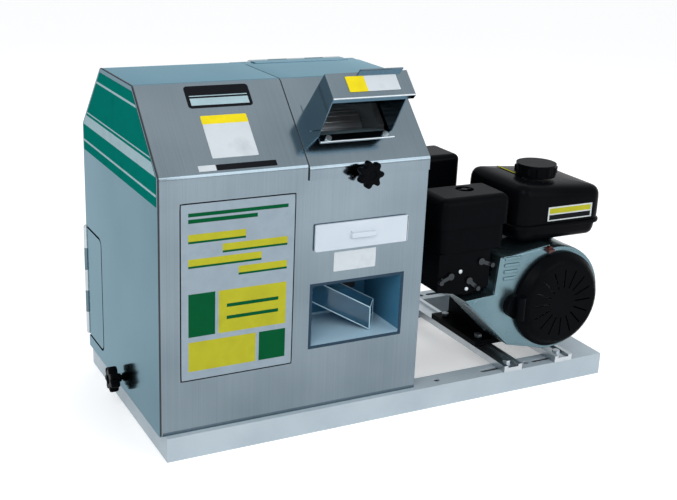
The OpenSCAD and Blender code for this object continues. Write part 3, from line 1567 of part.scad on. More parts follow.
module control_lever(lever) {
  translate([lever[0], control_y, lever[1]]) rotate([90, 0, 0]) {
    rod_z([0, 0, -control_d / 2 + lever_t], lever_pin_r, control_d / 2 - lever_t);
    cylinder(r = lever_hub_r, h = lever_t);
    rotate(lever[2]) {
      block([0, -lever_hub_r * lever_share, 0], [lever_l, 2 * lever_hub_r * lever_share, lever_t]);
      rod_z([lever_l, 0, 0], lever_hub_r * lever_tip_share, 2 * lever_t);
    }
  }
}

module throttle_lever() color([0.70, 0.72, 0.74]) placed() control_lever(levers[0]);

module choke_lever() color([0.82, 0.84, 0.86]) placed() control_lever(levers[1]);

module fuel_cock_lever() color([0.70, 0.72, 0.74]) placed() control_lever(levers[2]);

module carburettor() color([0.60, 0.64, 0.66]) placed() {
  depth = block_y + block_l / 2 - fin_side / 2 - control_y - control_d;
  block([carb_x - carb_w / 2, control_y + control_d, carb_z - carb_w / 2], [carb_w, depth, carb_w]);
  rod_z([carb_x, control_y + control_d + depth / 2, carb_z - carb_w], depth / 2 - fin_t, carb_w / 2);
}

module muffler() color([0.22, 0.22, 0.23]) placed() {
  body_z = muffler_top - muffler_h + muffler_room;
  translate([0, 0, body_z]) linear_extrude(muffler_h - 2 * muffler_room)
    rounded_rect([muffler_x + muffler_room, muffler_y + muffler_room],
      [muffler_w - 2 * muffler_room, muffler_d - 2 * muffler_room], muffler_room * 3);
  rod_y([carb_x, fins_back, carb_z], pipe_r, pipe_y + pipe_r - fins_back);
  rod_z([carb_x, pipe_y, carb_z], pipe_r * pipe_share, body_z + muffler_room - carb_z);
}

module muffler_guard() color([0.07, 0.07, 0.08]) placed() difference() {
  block([muffler_x, muffler_y, muffler_top - muffler_h], [muffler_w, muffler_d, muffler_h]);
  difference() {
    block([muffler_x + muffler_sheet, muffler_y + muffler_sheet, muffler_top - muffler_h - muffler_sheet],
      [muffler_w - 2 * muffler_sheet, muffler_d - 2 * muffler_sheet, muffler_h]);
    for (y = [muffler_y + muffler_d / 4, muffler_y + muffler_d * 3 / 4])
      rod_z([muffler_x + muffler_w / 2, y, muffler_top - muffler_room], 2 * bolt_r, muffler_room);
  }
  for (i = [0 : guard_slots - 1]) {
    y = muffler_y + muffler_d * (i + 1 / 2) / guard_slots;
    block([muffler_x - muffler_sheet, y - muffler_sheet, muffler_top - muffler_h * 3 / 4],
      [muffler_w + 2 * muffler_sheet, 2 * muffler_sheet, muffler_h / 2]);
  }
}

module oil_dipstick() color([0.08, 0.08, 0.09]) placed() {
  rod_x([case_right, dipstick_y, dipstick_z], dipstick_r / head_share, dipstick_r);
  rod_x([case_right - dipstick_l + cut, dipstick_y, dipstick_z], dipstick_r, dipstick_l - cut);
}

module stop_switch() color([0.55, 0.08, 0.06]) at_crank() {
  translate([switch_x, shroud_y, switch_z]) rotate([90, 0, 0]) {
    cylinder(r = lever_hub_r, h = lever_t * 2);
    block([-lever_hub_r, -lever_t / 2, lever_t * 2], [2 * lever_hub_r, lever_t, lever_t]);
  }
}

base_frame();
engine_rails();
hex_bolts();
cabinet_floor();
left_side_panel();
right_side_panel();
front_panel();
back_panel();
divider_panel();
left_cover();
back_cover();
roller_lid();
feed_hopper();
hopper_bolts();
lid_knob();
side_knob();
fixed_hinge_leaves();
hinge_pins();
access_flap();
drawer_front();
strainer_tray();
niche_box();
juice_chute();
juice_funnel();
mill_frame();
cheek_ties();
bearing_bushes();
top_roller();
feed_roller();
discharge_roller();
top_gear();
feed_gear();
discharge_gear();
gearbox_housing();
gearbox_stand();
driven_pulley();
drive_pulley();
drive_belt();
belt_guard();
engine_block();
cylinder_head();
rocker_cover();
spark_plug();
fan_shroud();
recoil_cover();
starter_grip();
crankshaft();
fuel_tank();
fuel_cap();
cleaner_case();
cleaner_cover();
control_cover();
throttle_lever();
choke_lever();
fuel_cock_lever();
carburettor();
muffler();
muffler_guard();
oil_dipstick();
stop_switch();
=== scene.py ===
import json
import math

import bmesh
import bpy
import numpy as np
from mathutils import Matrix, Vector


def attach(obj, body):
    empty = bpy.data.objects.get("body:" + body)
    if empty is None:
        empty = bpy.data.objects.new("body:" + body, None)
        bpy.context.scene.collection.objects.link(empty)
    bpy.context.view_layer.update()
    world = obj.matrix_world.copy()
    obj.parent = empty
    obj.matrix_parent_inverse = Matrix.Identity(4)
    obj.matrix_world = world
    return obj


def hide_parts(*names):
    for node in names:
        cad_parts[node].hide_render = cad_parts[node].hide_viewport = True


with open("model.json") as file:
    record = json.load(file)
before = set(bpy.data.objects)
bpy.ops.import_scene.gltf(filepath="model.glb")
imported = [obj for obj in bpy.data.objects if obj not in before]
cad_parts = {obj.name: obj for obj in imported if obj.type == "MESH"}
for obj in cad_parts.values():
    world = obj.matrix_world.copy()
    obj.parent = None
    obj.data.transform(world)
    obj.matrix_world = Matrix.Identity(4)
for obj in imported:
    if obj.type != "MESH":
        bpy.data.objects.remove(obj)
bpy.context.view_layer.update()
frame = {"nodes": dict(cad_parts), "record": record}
cadNodes = frame["nodes"]
bodyOf = {n: b for b, members in frame["record"]["behaviour"]["bodies"].items() for n in members}
print("frame loaded with", len(cadNodes), "nodes")


# shader helpers: each works on one finish
def newFinish(name, **sockets):
    # a Principled material with its constant sockets set by name
    finish = bpy.data.materials.new(name)
    finish.use_nodes = True
    shader = finish.node_tree.nodes["Principled BSDF"]
    for socket, value in sockets.items():
        shader.inputs[socket.replace("_", " ")].default_value = value
    return finish, finish.node_tree.nodes, finish.node_tree.links, shader


def grainOn(finish, stretch, detail):
    # noise on stretched object coordinates, so that it reads as grain along the small factor
    nodes, links = finish.node_tree.nodes, finish.node_tree.links
    place = nodes.new("ShaderNodeTexCoord")
    mapping = nodes.new("ShaderNodeMapping")
    mapping.inputs["Scale"].default_value = stretch
    noise = nodes.new("ShaderNodeTexNoise")
    noise.inputs["Scale"].default_value = 1.0
    noise.inputs["Detail"].default_value = detail
    links.new(place.outputs["Object"], mapping.inputs["Vector"])
    links.new(mapping.outputs["Vector"], noise.inputs["Vector"])
    return noise.outputs["Fac"]


def rampOf(finish, source, stops):
    # colour stops read along a grey source
    ramp = finish.node_tree.nodes.new("ShaderNodeValToRGB")
    elements = ramp.color_ramp.elements
    while len(elements) < len(stops):
        elements.new(0.5)
    for element, (spot, colour) in zip(elements, stops):
        element.position, element.color = spot, (*colour, 1.0)
    finish.node_tree.links.new(source, ramp.inputs["Fac"])
    return ramp.outputs["Color"]


def rangeOf(finish, source, low, high):
    # a grey source spread between two values
    spread = finish.node_tree.nodes.new("ShaderNodeMapRange")
    spread.inputs["To Min"].default_value = low
    spread.inputs["To Max"].default_value = high
    finish.node_tree.links.new(source, spread.inputs["Value"])
    return spread.outputs["Result"]


def bumpOf(finish, source, strength, depth):
    # a grey source as relief on the shader's normal
    bump = finish.node_tree.nodes.new("ShaderNodeBump")
    bump.inputs["Strength"].default_value = strength
    bump.inputs["Distance"].default_value = depth
    shader = finish.node_tree.nodes["Principled BSDF"]
    finish.node_tree.links.new(source, bump.inputs["Height"])
    finish.node_tree.links.new(bump.outputs["Normal"], shader.inputs["Normal"])


def mixOver(finish, under, factor, paint):
    # one plain colour laid over another where the factor is 1; a colour mix takes its two colours
    # at sockets 6 and 7 and gives them out at 2
    mix = finish.node_tree.nodes.new("ShaderNodeMix")
    mix.data_type = "RGBA"
    finish.node_tree.links.new(factor, mix.inputs["Factor"])
    finish.node_tree.links.new(under, mix.inputs[6])
    mix.inputs[7].default_value = (*paint, 1.0)
    return mix.outputs[2]


steelGrain = {
    "cloud": 5, "cloudDetail": 3.0, "cloudShare": 0.68, "grainDetail": 4.0, "grainShare": 0.32,
    "darkAt": 0.25, "lightAt": 0.75, "relief": 0.05, "depth": 0.0003,
}


def brushedSteel(name, dark, light, stretch, rough, metal=1.0, edge=(1.0, 1.0, 1.0)):
    # sheet steel: fine grain lines in colour, gloss and relief, and broad cloudy wear;
    # edge is its tint at a grazing angle
    finish, nodes, links, shader = newFinish(name, Metallic=metal, Specular_Tint=(*edge, 1.0))
    grain = grainOn(finish, stretch, steelGrain["grainDetail"])
    cloud = grainOn(finish, (steelGrain["cloud"],) * 3, steelGrain["cloudDetail"])
    both = nodes.new("ShaderNodeMath")
    both.operation = "MULTIPLY_ADD"
    both.inputs[1].default_value = steelGrain["cloudShare"]
    links.new(cloud, both.inputs[0])
    links.new(rangeOf(finish, grain, 0.0, steelGrain["grainShare"]), both.inputs[2])
    stops = [(steelGrain["darkAt"], dark), (steelGrain["lightAt"], light)]
    colour = rampOf(finish, both.outputs[0], stops)
    links.new(colour, shader.inputs["Base Color"])
    links.new(rangeOf(finish, both.outputs[0], *rough), shader.inputs["Roughness"])
    bumpOf(finish, grain, steelGrain["relief"], steelGrain["depth"])
    return finish


paintFilm = {
    "cloud": 9, "cloudDetail": 5.0, "peelDetail": 2.0, "freshAt": 0.35, "wornAt": 0.75,
    "relief": 0.06, "depth": 0.0003,
}


def paintedMetal(name, colour, worn, rough, metal=0.0, speck=160, shine=0.5):
    # paint, plastic or cast metal: fine orange peel and faint cloudy dust
    finish, _, links, shader = newFinish(name, Metallic=metal, Specular_IOR_Level=shine)
    cloud = grainOn(finish, (paintFilm["cloud"],) * 3, paintFilm["cloudDetail"])
    peel = grainOn(finish, (speck,) * 3, paintFilm["peelDetail"])
    stops = [(paintFilm["freshAt"], colour), (paintFilm["wornAt"], worn)]
    links.new(rampOf(finish, cloud, stops), shader.inputs["Base Color"])
    links.new(rangeOf(finish, cloud, *rough), shader.inputs["Roughness"])
    bumpOf(finish, peel, paintFilm["relief"], paintFilm["depth"])
    return finish


acrylicSheet = {
    "rough": 0.06, "ior": 1.49, "shine": 0.22, "cloud": 14, "cloudDetail": 3.0,
    "deepAt": 0.3, "paleAt": 0.8, "paler": 1.15,
}


def acrylicFinish(name, walls, clear, bands=()):
    # tinted sheet; each band gives another colour below a place on one axis of the object
    sheet = acrylicSheet
    finish, nodes, links, shader = newFinish(
        name, Roughness=sheet["rough"], IOR=sheet["ior"], Transmission_Weight=clear,
        Specular_IOR_Level=sheet["shine"],
    )
    place = nodes.new("ShaderNodeTexCoord")
    split = nodes.new("ShaderNodeSeparateXYZ")
    links.new(place.outputs["Object"], split.inputs["Vector"])
    cloud = grainOn(finish, (sheet["cloud"],) * 3, sheet["cloudDetail"])
    pale = tuple(sheet["paler"] * c for c in walls)
    colour = rampOf(finish, cloud, [(sheet["deepAt"], walls), (sheet["paleAt"], pale)])
    for axis, limit, paint in bands:
        below = nodes.new("ShaderNodeMath")
        below.operation = "LESS_THAN"
        below.inputs[1].default_value = limit
        links.new(split.outputs[axis], below.inputs[0])
        colour = mixOver(finish, colour, below.outputs[0], paint)
    links.new(colour, shader.inputs["Base Color"])
    return finish


steels = {  # dark, light, grain stretch, roughness span, metal share, tint at a grazing angle
    # the cabinet's one stainless sheet in two copies: the side copy darker as painted shade, the front copy
    # lighter as painted light
    "steelFront": (
        (0.148, 0.194, 0.227), (0.248, 0.304, 0.345), (900, 2, 2), (0.07, 0.19), 1.0, (0.55, 0.82, 0.94)
    ),
    "steelSide": (
        (0.105, 0.160, 0.188), (0.165, 0.228, 0.258), (2, 900, 2), (0.07, 0.19), 1.0, (0.66, 0.80, 0.87)
    ),
    "zincSteel": ((0.42, 0.47, 0.50), (0.62, 0.66, 0.69), (60, 60, 60), (0.22, 0.42)),
    "dullZinc": ((0.035, 0.04, 0.045), (0.06, 0.066, 0.072), (60, 60, 60), (0.35, 0.55)),
    "rollerSteel": ((0.40, 0.42, 0.44), (0.58, 0.60, 0.62), (3, 300, 300), (0.24, 0.40), 0.7),
}
paints = {  # colour, worn colour, roughness span, metal share, fineness of the peel, shine
    "basePaint": ((0.44, 0.52, 0.575), (0.37, 0.445, 0.505), (0.35, 0.55)),
    "blackPlastic": (
        (0.0016, 0.0019, 0.0026), (0.0032, 0.0038, 0.005), (0.22, 0.38), 0.0, 160, 0.02
    ),
    "blackPaint": ((0.0014, 0.0016, 0.0022), (0.003, 0.0034, 0.0045), (0.18, 0.34), 0.0, 160, 0.025),
    "engineDark": ((0.002, 0.0024, 0.003), (0.005, 0.0056, 0.007), (0.34, 0.5), 0.0, 500, 0.03),
    "whitePlastic": ((0.56, 0.63, 0.70), (0.50, 0.58, 0.66), (0.25, 0.4)),
    "redPlastic": ((0.06, 0.004, 0.004), (0.045, 0.003, 0.003), (0.3, 0.45)),
    "millSteel": ((0.28, 0.32, 0.34), (0.37, 0.41, 0.43), (0.4, 0.6), 0.6),
    "dullSheet": ((0.17, 0.25, 0.29), (0.23, 0.32, 0.36), (0.45, 0.6), 0.25),
    "bronze": ((0.42, 0.27, 0.10), (0.52, 0.36, 0.16), (0.3, 0.45), 1.0),
    "castIron": ((0.10, 0.11, 0.12), (0.16, 0.17, 0.18), (0.5, 0.7), 0.6),
    "castAluminium": ((0.115, 0.19, 0.222), (0.165, 0.255, 0.29), (0.20, 0.34), 0.95, 900),
    "beltRubber": ((0.012, 0.012, 0.012), (0.03, 0.03, 0.03), (0.7, 0.85)),
    "darkSeam": ((0.012, 0.015, 0.018), (0.02, 0.024, 0.028), (0.5, 0.7)),
    "acrylicEdge": ((0.50, 0.69, 0.80), (0.42, 0.62, 0.75), (0.15, 0.3)),
}
acrylics = {  # walls, clearness, bands of axis, limit and colour: the bed paler as painted light falling in at the open front, then the dark front edge
    "nicheAcrylic": (
        (0.058, 0.20, 0.325), 0.12,
        (("Z", 0.1530, (0.47, 0.69, 0.83)), ("Y", -0.1893, (0.006, 0.035, 0.07))),
    ),
    "clearAcrylic": ((0.13, 0.37, 0.54), 0.86),
}
finishes = {}
for make, recipes in ((brushedSteel, steels), (paintedMetal, paints), (acrylicFinish, acrylics)):
    finishes.update({name: make(name, *recipe) for name, recipe in recipes.items()})
print("finishes made:", len(finishes))


# the studio
camView = {
    "at": (-0.921, -1.643, 0.862), "azimuth": -28.43, "elevation": 18.63, "roll": 2.47,
    "lens": 59.51, "sensor": 36.0, "clip": (0.05, 100.0),
}


def placeCamera(spec):
    # back looks from the object to the lens; right and up are turned about it by the roll
    a, e, r = (math.radians(spec[k]) for k in ("azimuth", "elevation", "roll"))
    back = Vector((math.sin(a) * math.cos(e), -math.cos(a) * math.cos(e), math.sin(e)))
    level = Vector((math.cos(a), math.sin(a), 0.0))
    plumb = back.cross(level)
    right = level * math.cos(r) + plumb * math.sin(r)
    up = plumb * math.cos(r) - level * math.sin(r)
    lens = bpy.data.cameras.new("photoCamera")
    lens.lens, lens.sensor_width = spec["lens"], spec["sensor"]
    lens.clip_start, lens.clip_end = spec["clip"]
    camera = bpy.data.objects.new("photoCamera", lens)
    turn = Matrix((right, up, back)).transposed().to_4x4()
    camera.matrix_world = Matrix.Translation(spec["at"]) @ turn
    bpy.context.scene.collection.objects.link(camera)
    bpy.context.scene.camera = camera


studio = {
    "floorSize": 30.0,
    "floorColour": (0.88, 0.89, 0.90),
    "floorRough": 0.9,
    "floorShine": 0.1,
    "floorGlow": 0.34,
    "skyFill": 0.70,
    "dome": [  # height of the ray, colour that mirrors see there
        (0.00, (1.0, 1.0, 1.0)), (0.10, (1.0, 1.0, 1.0)), (0.26, (0.52, 0.56, 0.59)),
        (0.55, (0.93, 0.95, 0.97)), (1.00, (0.98, 0.98, 0.98)),
    ],
    "lamps": [  # place, aim, size, watts, seen in mirrors
        ((-1.6, -2.0, 2.3), (0.0, 0.0, 0.30), 1.6, 30.0, True),
        ((1.0, -2.2, 1.25), (0.0, -0.1, 0.40), 1.5, 16.0, True),
        ((0.2, 1.8, 2.2), (0.0, 0.0, 0.40), 1.4, 12.0, False),  # it would glare on the top sheet
    ],
}


def seenRays(tree):
    # 1 for camera, glossy and transmission rays, 0 for the rays that light the object
    path = tree.nodes.new("ShaderNodeLightPath")
    total = path.outputs["Is Camera Ray"]
    for name in ("Is Glossy Ray", "Is Transmission Ray"):
        pick = tree.nodes.new("ShaderNodeMath")
        pick.operation = "MAXIMUM"
        tree.links.new(total, pick.inputs[0])
        tree.links.new(path.outputs[name], pick.inputs[1])
        total = pick.outputs[0]
    return total


def buildStudio(spec):
    # a pale floor with a little glow, an even sky whose dome shows in mirrors alone, and soft lamps
    scene = bpy.context.scene
    scene.view_settings.view_transform = "Standard"
    half = spec["floorSize"] / 2
    mesh = bpy.data.meshes.new("floor")
    square = [(-half, -half, 0), (half, -half, 0), (half, half, 0), (-half, half, 0)]
    mesh.from_pydata(square, [], [(0, 1, 2, 3)])
    floor = bpy.data.objects.new("floor", mesh)
    scene.collection.objects.link(floor)
    finish, nodes, links, shader = newFinish(
        "paleFloor", Base_Color=(*spec["floorColour"], 1.0), Roughness=spec["floorRough"],
        Specular_IOR_Level=spec["floorShine"],
    )
    glow = nodes.new("ShaderNodeMath")  # light of its own, for the camera and mirrors alone
    glow.operation = "MULTIPLY"
    glow.inputs[1].default_value = spec["floorGlow"]
    links.new(seenRays(finish.node_tree), glow.inputs[0])
    links.new(glow.outputs[0], shader.inputs["Emission Strength"])
    shader.inputs["Emission Color"].default_value = (1.0, 1.0, 1.0, 1.0)
    mesh.materials.append(finish)
    world = bpy.data.worlds.new("studio")
    scene.world = world
    world.use_nodes = True
    tree = world.node_tree
    fill = tree.nodes["Background"]
    fill.inputs["Color"].default_value = (1.0, 1.0, 1.0, 1.0)
    fill.inputs["Strength"].default_value = spec["skyFill"]
    white = tree.nodes.new("ShaderNodeBackground")
    white.inputs["Strength"].default_value = 1.0
    way = tree.nodes.new("ShaderNodeTexCoord")
    height = tree.nodes.new("ShaderNodeSeparateXYZ")
    tree.links.new(way.outputs["Generated"], height.inputs["Vector"])
    dome = rampOf(world, height.outputs["Z"], spec["dome"])  # white round the horizon, greyer above it
    tree.links.new(dome, white.inputs["Color"])
    mix = tree.nodes.new("ShaderNodeMixShader")
    tree.links.new(seenRays(tree), mix.inputs["Fac"])
    tree.links.new(fill.outputs[0], mix.inputs[1])
    tree.links.new(white.outputs[0], mix.inputs[2])
    tree.links.new(mix.outputs[0], tree.nodes["World Output"].inputs["Surface"])
    for i, (at, aim, size, watts, mirrored) in enumerate(spec["lamps"]):
        light = bpy.data.lights.new(f"softbox{i}", "AREA")
        light.size, light.energy = size, watts
        lamp = bpy.data.objects.new(f"softbox{i}", light)
        turn = (Vector(aim) - Vector(at)).to_track_quat("-Z", "Y").to_matrix().to_4x4()
        lamp.matrix_world = Matrix.Translation(at) @ turn
        lamp.visible_glossy = mirrored
        scene.collection.objects.link(lamp)


placeCamera(camView)
buildStudio(studio)
print("studio ready")

# the CAD pieces: finish of each node, and rounded copies of the ones in sight
nodeFinish = {
    "steelFront": [
        "front_panel", "left_cover", "roller_lid", "feed_hopper", "back_panel", "back_cover", "juice_funnel",
        "strainer_tray",
    ],
    "steelSide": ["left_side_panel", "right_side_panel", "access_flap", "divider_panel", "cabinet_floor"],
    "basePaint": ["base_frame", "gearbox_stand"],
    "zincSteel": [
        "engine_rails", "hex_bolts", "hopper_bolts", "fixed_hinge_leaves", "hinge_pins", "cheek_ties",
    ],
    "dullZinc": ["throttle_lever", "choke_lever", "fuel_cock_lever"],
    "blackPlastic": [
        "lid_knob", "side_knob", "recoil_cover", "starter_grip", "fuel_cap", "cleaner_case", "cleaner_cover",
        "control_cover", "oil_dipstick", "spark_plug",
    ],
    "whitePlastic": ["drawer_front"],
    "nicheAcrylic": ["niche_box"],
    "clearAcrylic": ["juice_chute"],
    "rollerSteel": ["top_roller", "feed_roller", "discharge_roller"],
    "millSteel": ["mill_frame", "top_gear", "feed_gear", "discharge_gear", "crankshaft"],
    "bronze": ["bearing_bushes"],
    "castIron": ["gearbox_housing", "driven_pulley", "drive_pulley"],
    "beltRubber": ["drive_belt"],
    "blackPaint": ["fuel_tank", "muffler", "muffler_guard", "rocker_cover", "belt_guard"],
    "castAluminium": ["cylinder_head", "carburettor", "fan_shroud"],
    "engineDark": ["engine_block"],
    "redPlastic": ["stop_switch"],
}
finishOf = {n: f for f, names in nodeFinish.items() for n in names}
for name, node in cadNodes.items():
    node.data.materials.clear()
    node.data.materials.append(finishes[finishOf[name]])


def adopt(piece, body, finish, replaced=()):
    # links a new piece, gives it a finish, and hangs it on its body
    bpy.context.scene.collection.objects.link(piece)
    piece.data.materials.append(finishes[finish])
    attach(piece, body)
    if replaced:
        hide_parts(*replaced)


def flatFaces(piece, keepSharp):
    # broad faces keep their own direction, so that the shading turns in the bends alone
    level = piece.modifiers.new("flatFaces", "WEIGHTED_NORMAL")
    level.mode, level.weight, level.keep_sharp = "FACE_AREA", 90, keepSharp


edgeRounds = {  # edge radius in millimetres of each rounded copy
    "base_frame": 1.2, "engine_rails": 0.8, "hex_bolts": 0.6, "left_side_panel": 0.9, "right_side_panel": 0.9,
    "front_panel": 0.9, "back_panel": 0.9, "left_cover": 0.9, "back_cover": 0.8, "roller_lid": 0.9,
    "feed_hopper": 0.8, "access_flap": 0.8, "drawer_front": 1.6, "belt_guard": 0.9, "niche_box": 0.5,
    "juice_chute": 0.5, "engine_block": 1.5, "cylinder_head": 0.8, "rocker_cover": 2.0, "fan_shroud": 1.5,
    "recoil_cover": 1.5, "starter_grip": 1.5, "fuel_cap": 1.5, "cleaner_case": 2.0, "control_cover": 1.6,
    "muffler": 1.5, "oil_dipstick": 1.0, "carburettor": 1.5, "stop_switch": 0.8,
    "throttle_lever": 0.6, "choke_lever": 0.6, "fuel_cock_lever": 0.6, "gearbox_housing": 1.5,
}
rounding = {"merge": 2e-6, "flatAngle": 0.6, "sharpAngle": 35, "segments": 2}


def roundedCopy(name, radius, spec):
    # the node's triangles merged into flat faces, then every sharp edge bevelled
    mesh = bpy.data.meshes.new(name + "_round")
    shape = bmesh.new()
    shape.from_mesh(cadNodes[name].data)
    bmesh.ops.remove_doubles(shape, verts=shape.verts, dist=spec["merge"])
    flat = math.radians(spec["flatAngle"])
    bmesh.ops.dissolve_limit(shape, angle_limit=flat, verts=shape.verts, edges=shape.edges)
    shape.to_mesh(mesh)
    shape.free()
    mesh.shade_smooth()
    piece = bpy.data.objects.new(name + "_round", mesh)
    bevel = piece.modifiers.new("edgeRound", "BEVEL")
    bevel.width, bevel.segments = radius / 1000, spec["segments"]
    bevel.limit_method, bevel.angle_limit = "ANGLE", math.radians(spec["sharpAngle"])
    flatFaces(piece, False)
    adopt(piece, bodyOf[name], finishOf[name], [name])


for name, radius in edgeRounds.items():
    roundedCopy(name, radius, rounding)
print("rounded copies:", len(edgeRounds))

# surface kit: pieces are grids of points in millimetres from the cabinet's front left foot
cabinetCorner = np.array([428.0, 190.0, 0.0])
weld = 1e-6  # metres within which points become one


def gridPiece(
    name, points, finish, body, wrap=(False, False), keep=None, thick=0.0, crease=40, replaced=()
):
    # points[u, v] become quads between neighbours; wrap joins the last row or column to the first,
    # keep leaves openings out; thick is the wall in millimetres, behind the grid or, if negative, before it
    nu, nv = points.shape[:2]
    spots = ((points - cabinetCorner) / 1000).reshape(-1, 3)
    u, v = np.arange(nu if wrap[0] else nu - 1), np.arange(nv if wrap[1] else nv - 1)
    un, vn = (u + 1) % nu, (v + 1) % nv
    row, nextRow = u[:, None] * nv, un[:, None] * nv
    quads = np.stack([row + v, nextRow + v, nextRow + vn, row + vn], axis=-1)
    quads = quads[keep] if keep is not None else quads.reshape(-1, 4)
    mesh = bpy.data.meshes.new(name)
    mesh.from_pydata(spots.tolist(), [], quads.tolist())
    across = np.meshgrid(np.linspace(0, 1, nu), np.linspace(0, 1, nv), indexing="ij")
    across = np.stack(across, axis=-1).reshape(-1, 2)
    corners = np.empty(len(mesh.loops), dtype=np.int32)
    mesh.loops.foreach_get("vertex_index", corners)
    uv = mesh.uv_layers.new(name="UVMap").data
    uv.foreach_set("uv", across[corners].astype(np.float32).ravel())
    shape = bmesh.new()
    shape.from_mesh(mesh)
    bmesh.ops.remove_doubles(shape, verts=shape.verts, dist=weld)
    loose = [p for p in shape.verts if not p.link_faces]
    bmesh.ops.delete(shape, geom=loose, context="VERTS")
    if wrap[0] or wrap[1]:
        bmesh.ops.recalc_face_normals(shape, faces=shape.faces)
    shape.to_mesh(mesh)
    shape.free()
    mesh.shade_smooth()
    mesh.set_sharp_from_angle(angle=math.radians(crease))
    piece = bpy.data.objects.new(name, mesh)
    if thick:
        wall = piece.modifiers.new("wall", "SOLIDIFY")
        wall.thickness, wall.offset = thick / 1000, -1.0
        flatFaces(piece, True)
    adopt(piece, body, finish, replaced)


def unit(v):
    # the same direction at length one
    return v / np.linalg.norm(v)


def filletPath(corners, radius, steps=9, support=0.6):
    # straight runs with each inner corner swapped for an arc that touches both runs;
    # short supporting straights beside the arc keep the runs flat
    corners = np.array(corners, float)
    run = [corners[:1]]
    for before, corner, after in zip(corners[:-2], corners[1:-1], corners[2:]):
        a, b = unit(before - corner), unit(after - corner)
        half = math.acos(np.clip(a @ b, -1, 1)) / 2
        middle = corner + unit(a + b) * radius / math.sin(half)
        start = corner + a * radius / math.tan(half) - middle
        end = corner + b * radius / math.tan(half) - middle
        t = np.linspace(0, 1, steps)[:, None]
        arc = start * (1 - t) + end * t
        arc = middle + arc / np.linalg.norm(arc, axis=1, keepdims=True) * radius
        run.append(np.concatenate([arc[:1] + a * support, arc, arc[-1:] + b * support]))
    run.append(corners[-1:])
    return np.concatenate(run)


def foldedSheet(xs, path):
    # a profile in y and z carried straight along x
    return np.stack(np.broadcast_arrays(xs[:, None], path[None, :, 0], path[None, :, 1]), axis=-1)


def plateOn(origin, along, up, size, corner=0.0, steps=25):
    # a flat rounded rectangle on a plane: square grid whose corners are drawn in to the corner radius
    s, t = np.meshgrid(np.linspace(0, 1, steps), np.linspace(0, 1, steps), indexing="ij")
    w, h = size
    x, y = s * w, t * h
    dx = np.maximum(np.abs(x - w / 2) - (w / 2 - corner), 0)
    dy = np.maximum(np.abs(y - h / 2) - (h / 2 - corner), 0)
    far, tiny = np.hypot(dx, dy), 1e-9
    pull = np.where(far > tiny, np.maximum(np.maximum(dx, dy), tiny) / np.maximum(far, tiny), 1.0)
    straightX = np.minimum(np.abs(x - w / 2), w / 2 - corner)
    straightY = np.minimum(np.abs(y - h / 2), h / 2 - corner)
    x = w / 2 + np.sign(x - w / 2) * (straightX + dx * pull)
    y = h / 2 + np.sign(y - h / 2) * (straightY + dy * pull)
    return np.array(origin) + x[..., None] * np.array(along) + y[..., None] * np.array(up)


# sheet skins with true bends over the cabinet
cabinet = {
    "depth": 380.0, "eave": 445.0, "ridge": 556.0, "foot": 42.0,
    "proud": 0.85, "bend": 12.0, "hem": 398.0, "flange": 422.0, "leafEdge": 246.0, "lidStep": 2.5,
    "sheet": 0.8, "tail": 20.0,
}
diagonal = math.sqrt(0.5)  # the slopes stand at 45 degrees
slopeUp = np.array([0.0, diagonal, diagonal])
slopeOut = np.array([0.0, -diagonal, diagonal])


def hoodPath(spec, proud, lid=False, hem=None):
    # front face, eave bend, slope, ridge bends and the way down behind, all lifted by the same amount;
    # a hem runs out flat into the front panel
    skew = proud * math.tan(math.pi / 8)  # half of the 45 degree bend
    run = spec["ridge"] - spec["eave"]
    step = spec["lidStep"] if lid else 0.0
    low = spec["flange"] if lid else spec["hem"] if hem else spec["foot"]
    front = [
        (-hem if hem else -proud - step, low),
        (-proud - step, spec["eave"] - step + skew),
        (run - skew, spec["ridge"] + proud),
    ]
    if lid:
        return front + [(spec["leafEdge"], spec["ridge"] + proud)]
    d = spec["depth"]
    return front + [
        (d - run + skew, spec["ridge"] + proud),
        (d + proud, spec["eave"] + skew),
        (d + proud, spec["eave"] - spec["tail"]),
    ]


def slopeSpot(s, h):
    # a place in y and z from its run up the slope and its height off it
    return np.array([(s - h) * diagonal, cabinet["eave"] + (s + h) * diagonal])


leftHood = {"rows": [2.6, 60.0, 120.0, 180.0, 236.0], "hem": 0.02}
path = filletPath(hoodPath(cabinet, cabinet["proud"], hem=leftHood["hem"]), cabinet["bend"])
gridPiece(
    "left_hood_skin", foldedSheet(np.array(leftHood["rows"]), path), "steelFront", "frame",
    thick=cabinet["sheet"],
)

lidSheet = {"x": (238.2, 449.7), "holeX": (269.0, 397.0), "holeAlong": (49.0, 105.0)}
path = filletPath(hoodPath(cabinet, cabinet["proud"], lid=True), cabinet["bend"])
along = (path[:, 1] - cabinet["eave"]) / diagonal
split = np.searchsorted(along, lidSheet["holeAlong"][0])
hole = np.stack([slopeSpot(s, cabinet["proud"]) for s in lidSheet["holeAlong"]])
path = np.concatenate([path[:split], hole, path[split:]])
xs = np.array([lidSheet["x"][0], *lidSheet["holeX"], lidSheet["x"][1]])
keep = np.ones((len(xs) - 1, len(path) - 1), bool)
keep[1, split] = False
gridPiece(
    "lid_skin", foldedSheet(xs, path), "steelFront", "lid", keep=keep, thick=cabinet["sheet"]
)

sill = {  # leads the cane from the mouth down to the mill's guide
    "x": (271.0, 395.0), "rows": 5, "path": [(36.4, 479.2), (62.0, 477.6), (84.0, 474.9)],
    "bend": 60.0, "sheet": 1.2,
}
path = filletPath(sill["path"], sill["bend"])
xs = np.linspace(*sill["x"], sill["rows"])
gridPiece("feed_sill", foldedSheet(xs, path), "dullSheet", "lid", thick=sill["sheet"])

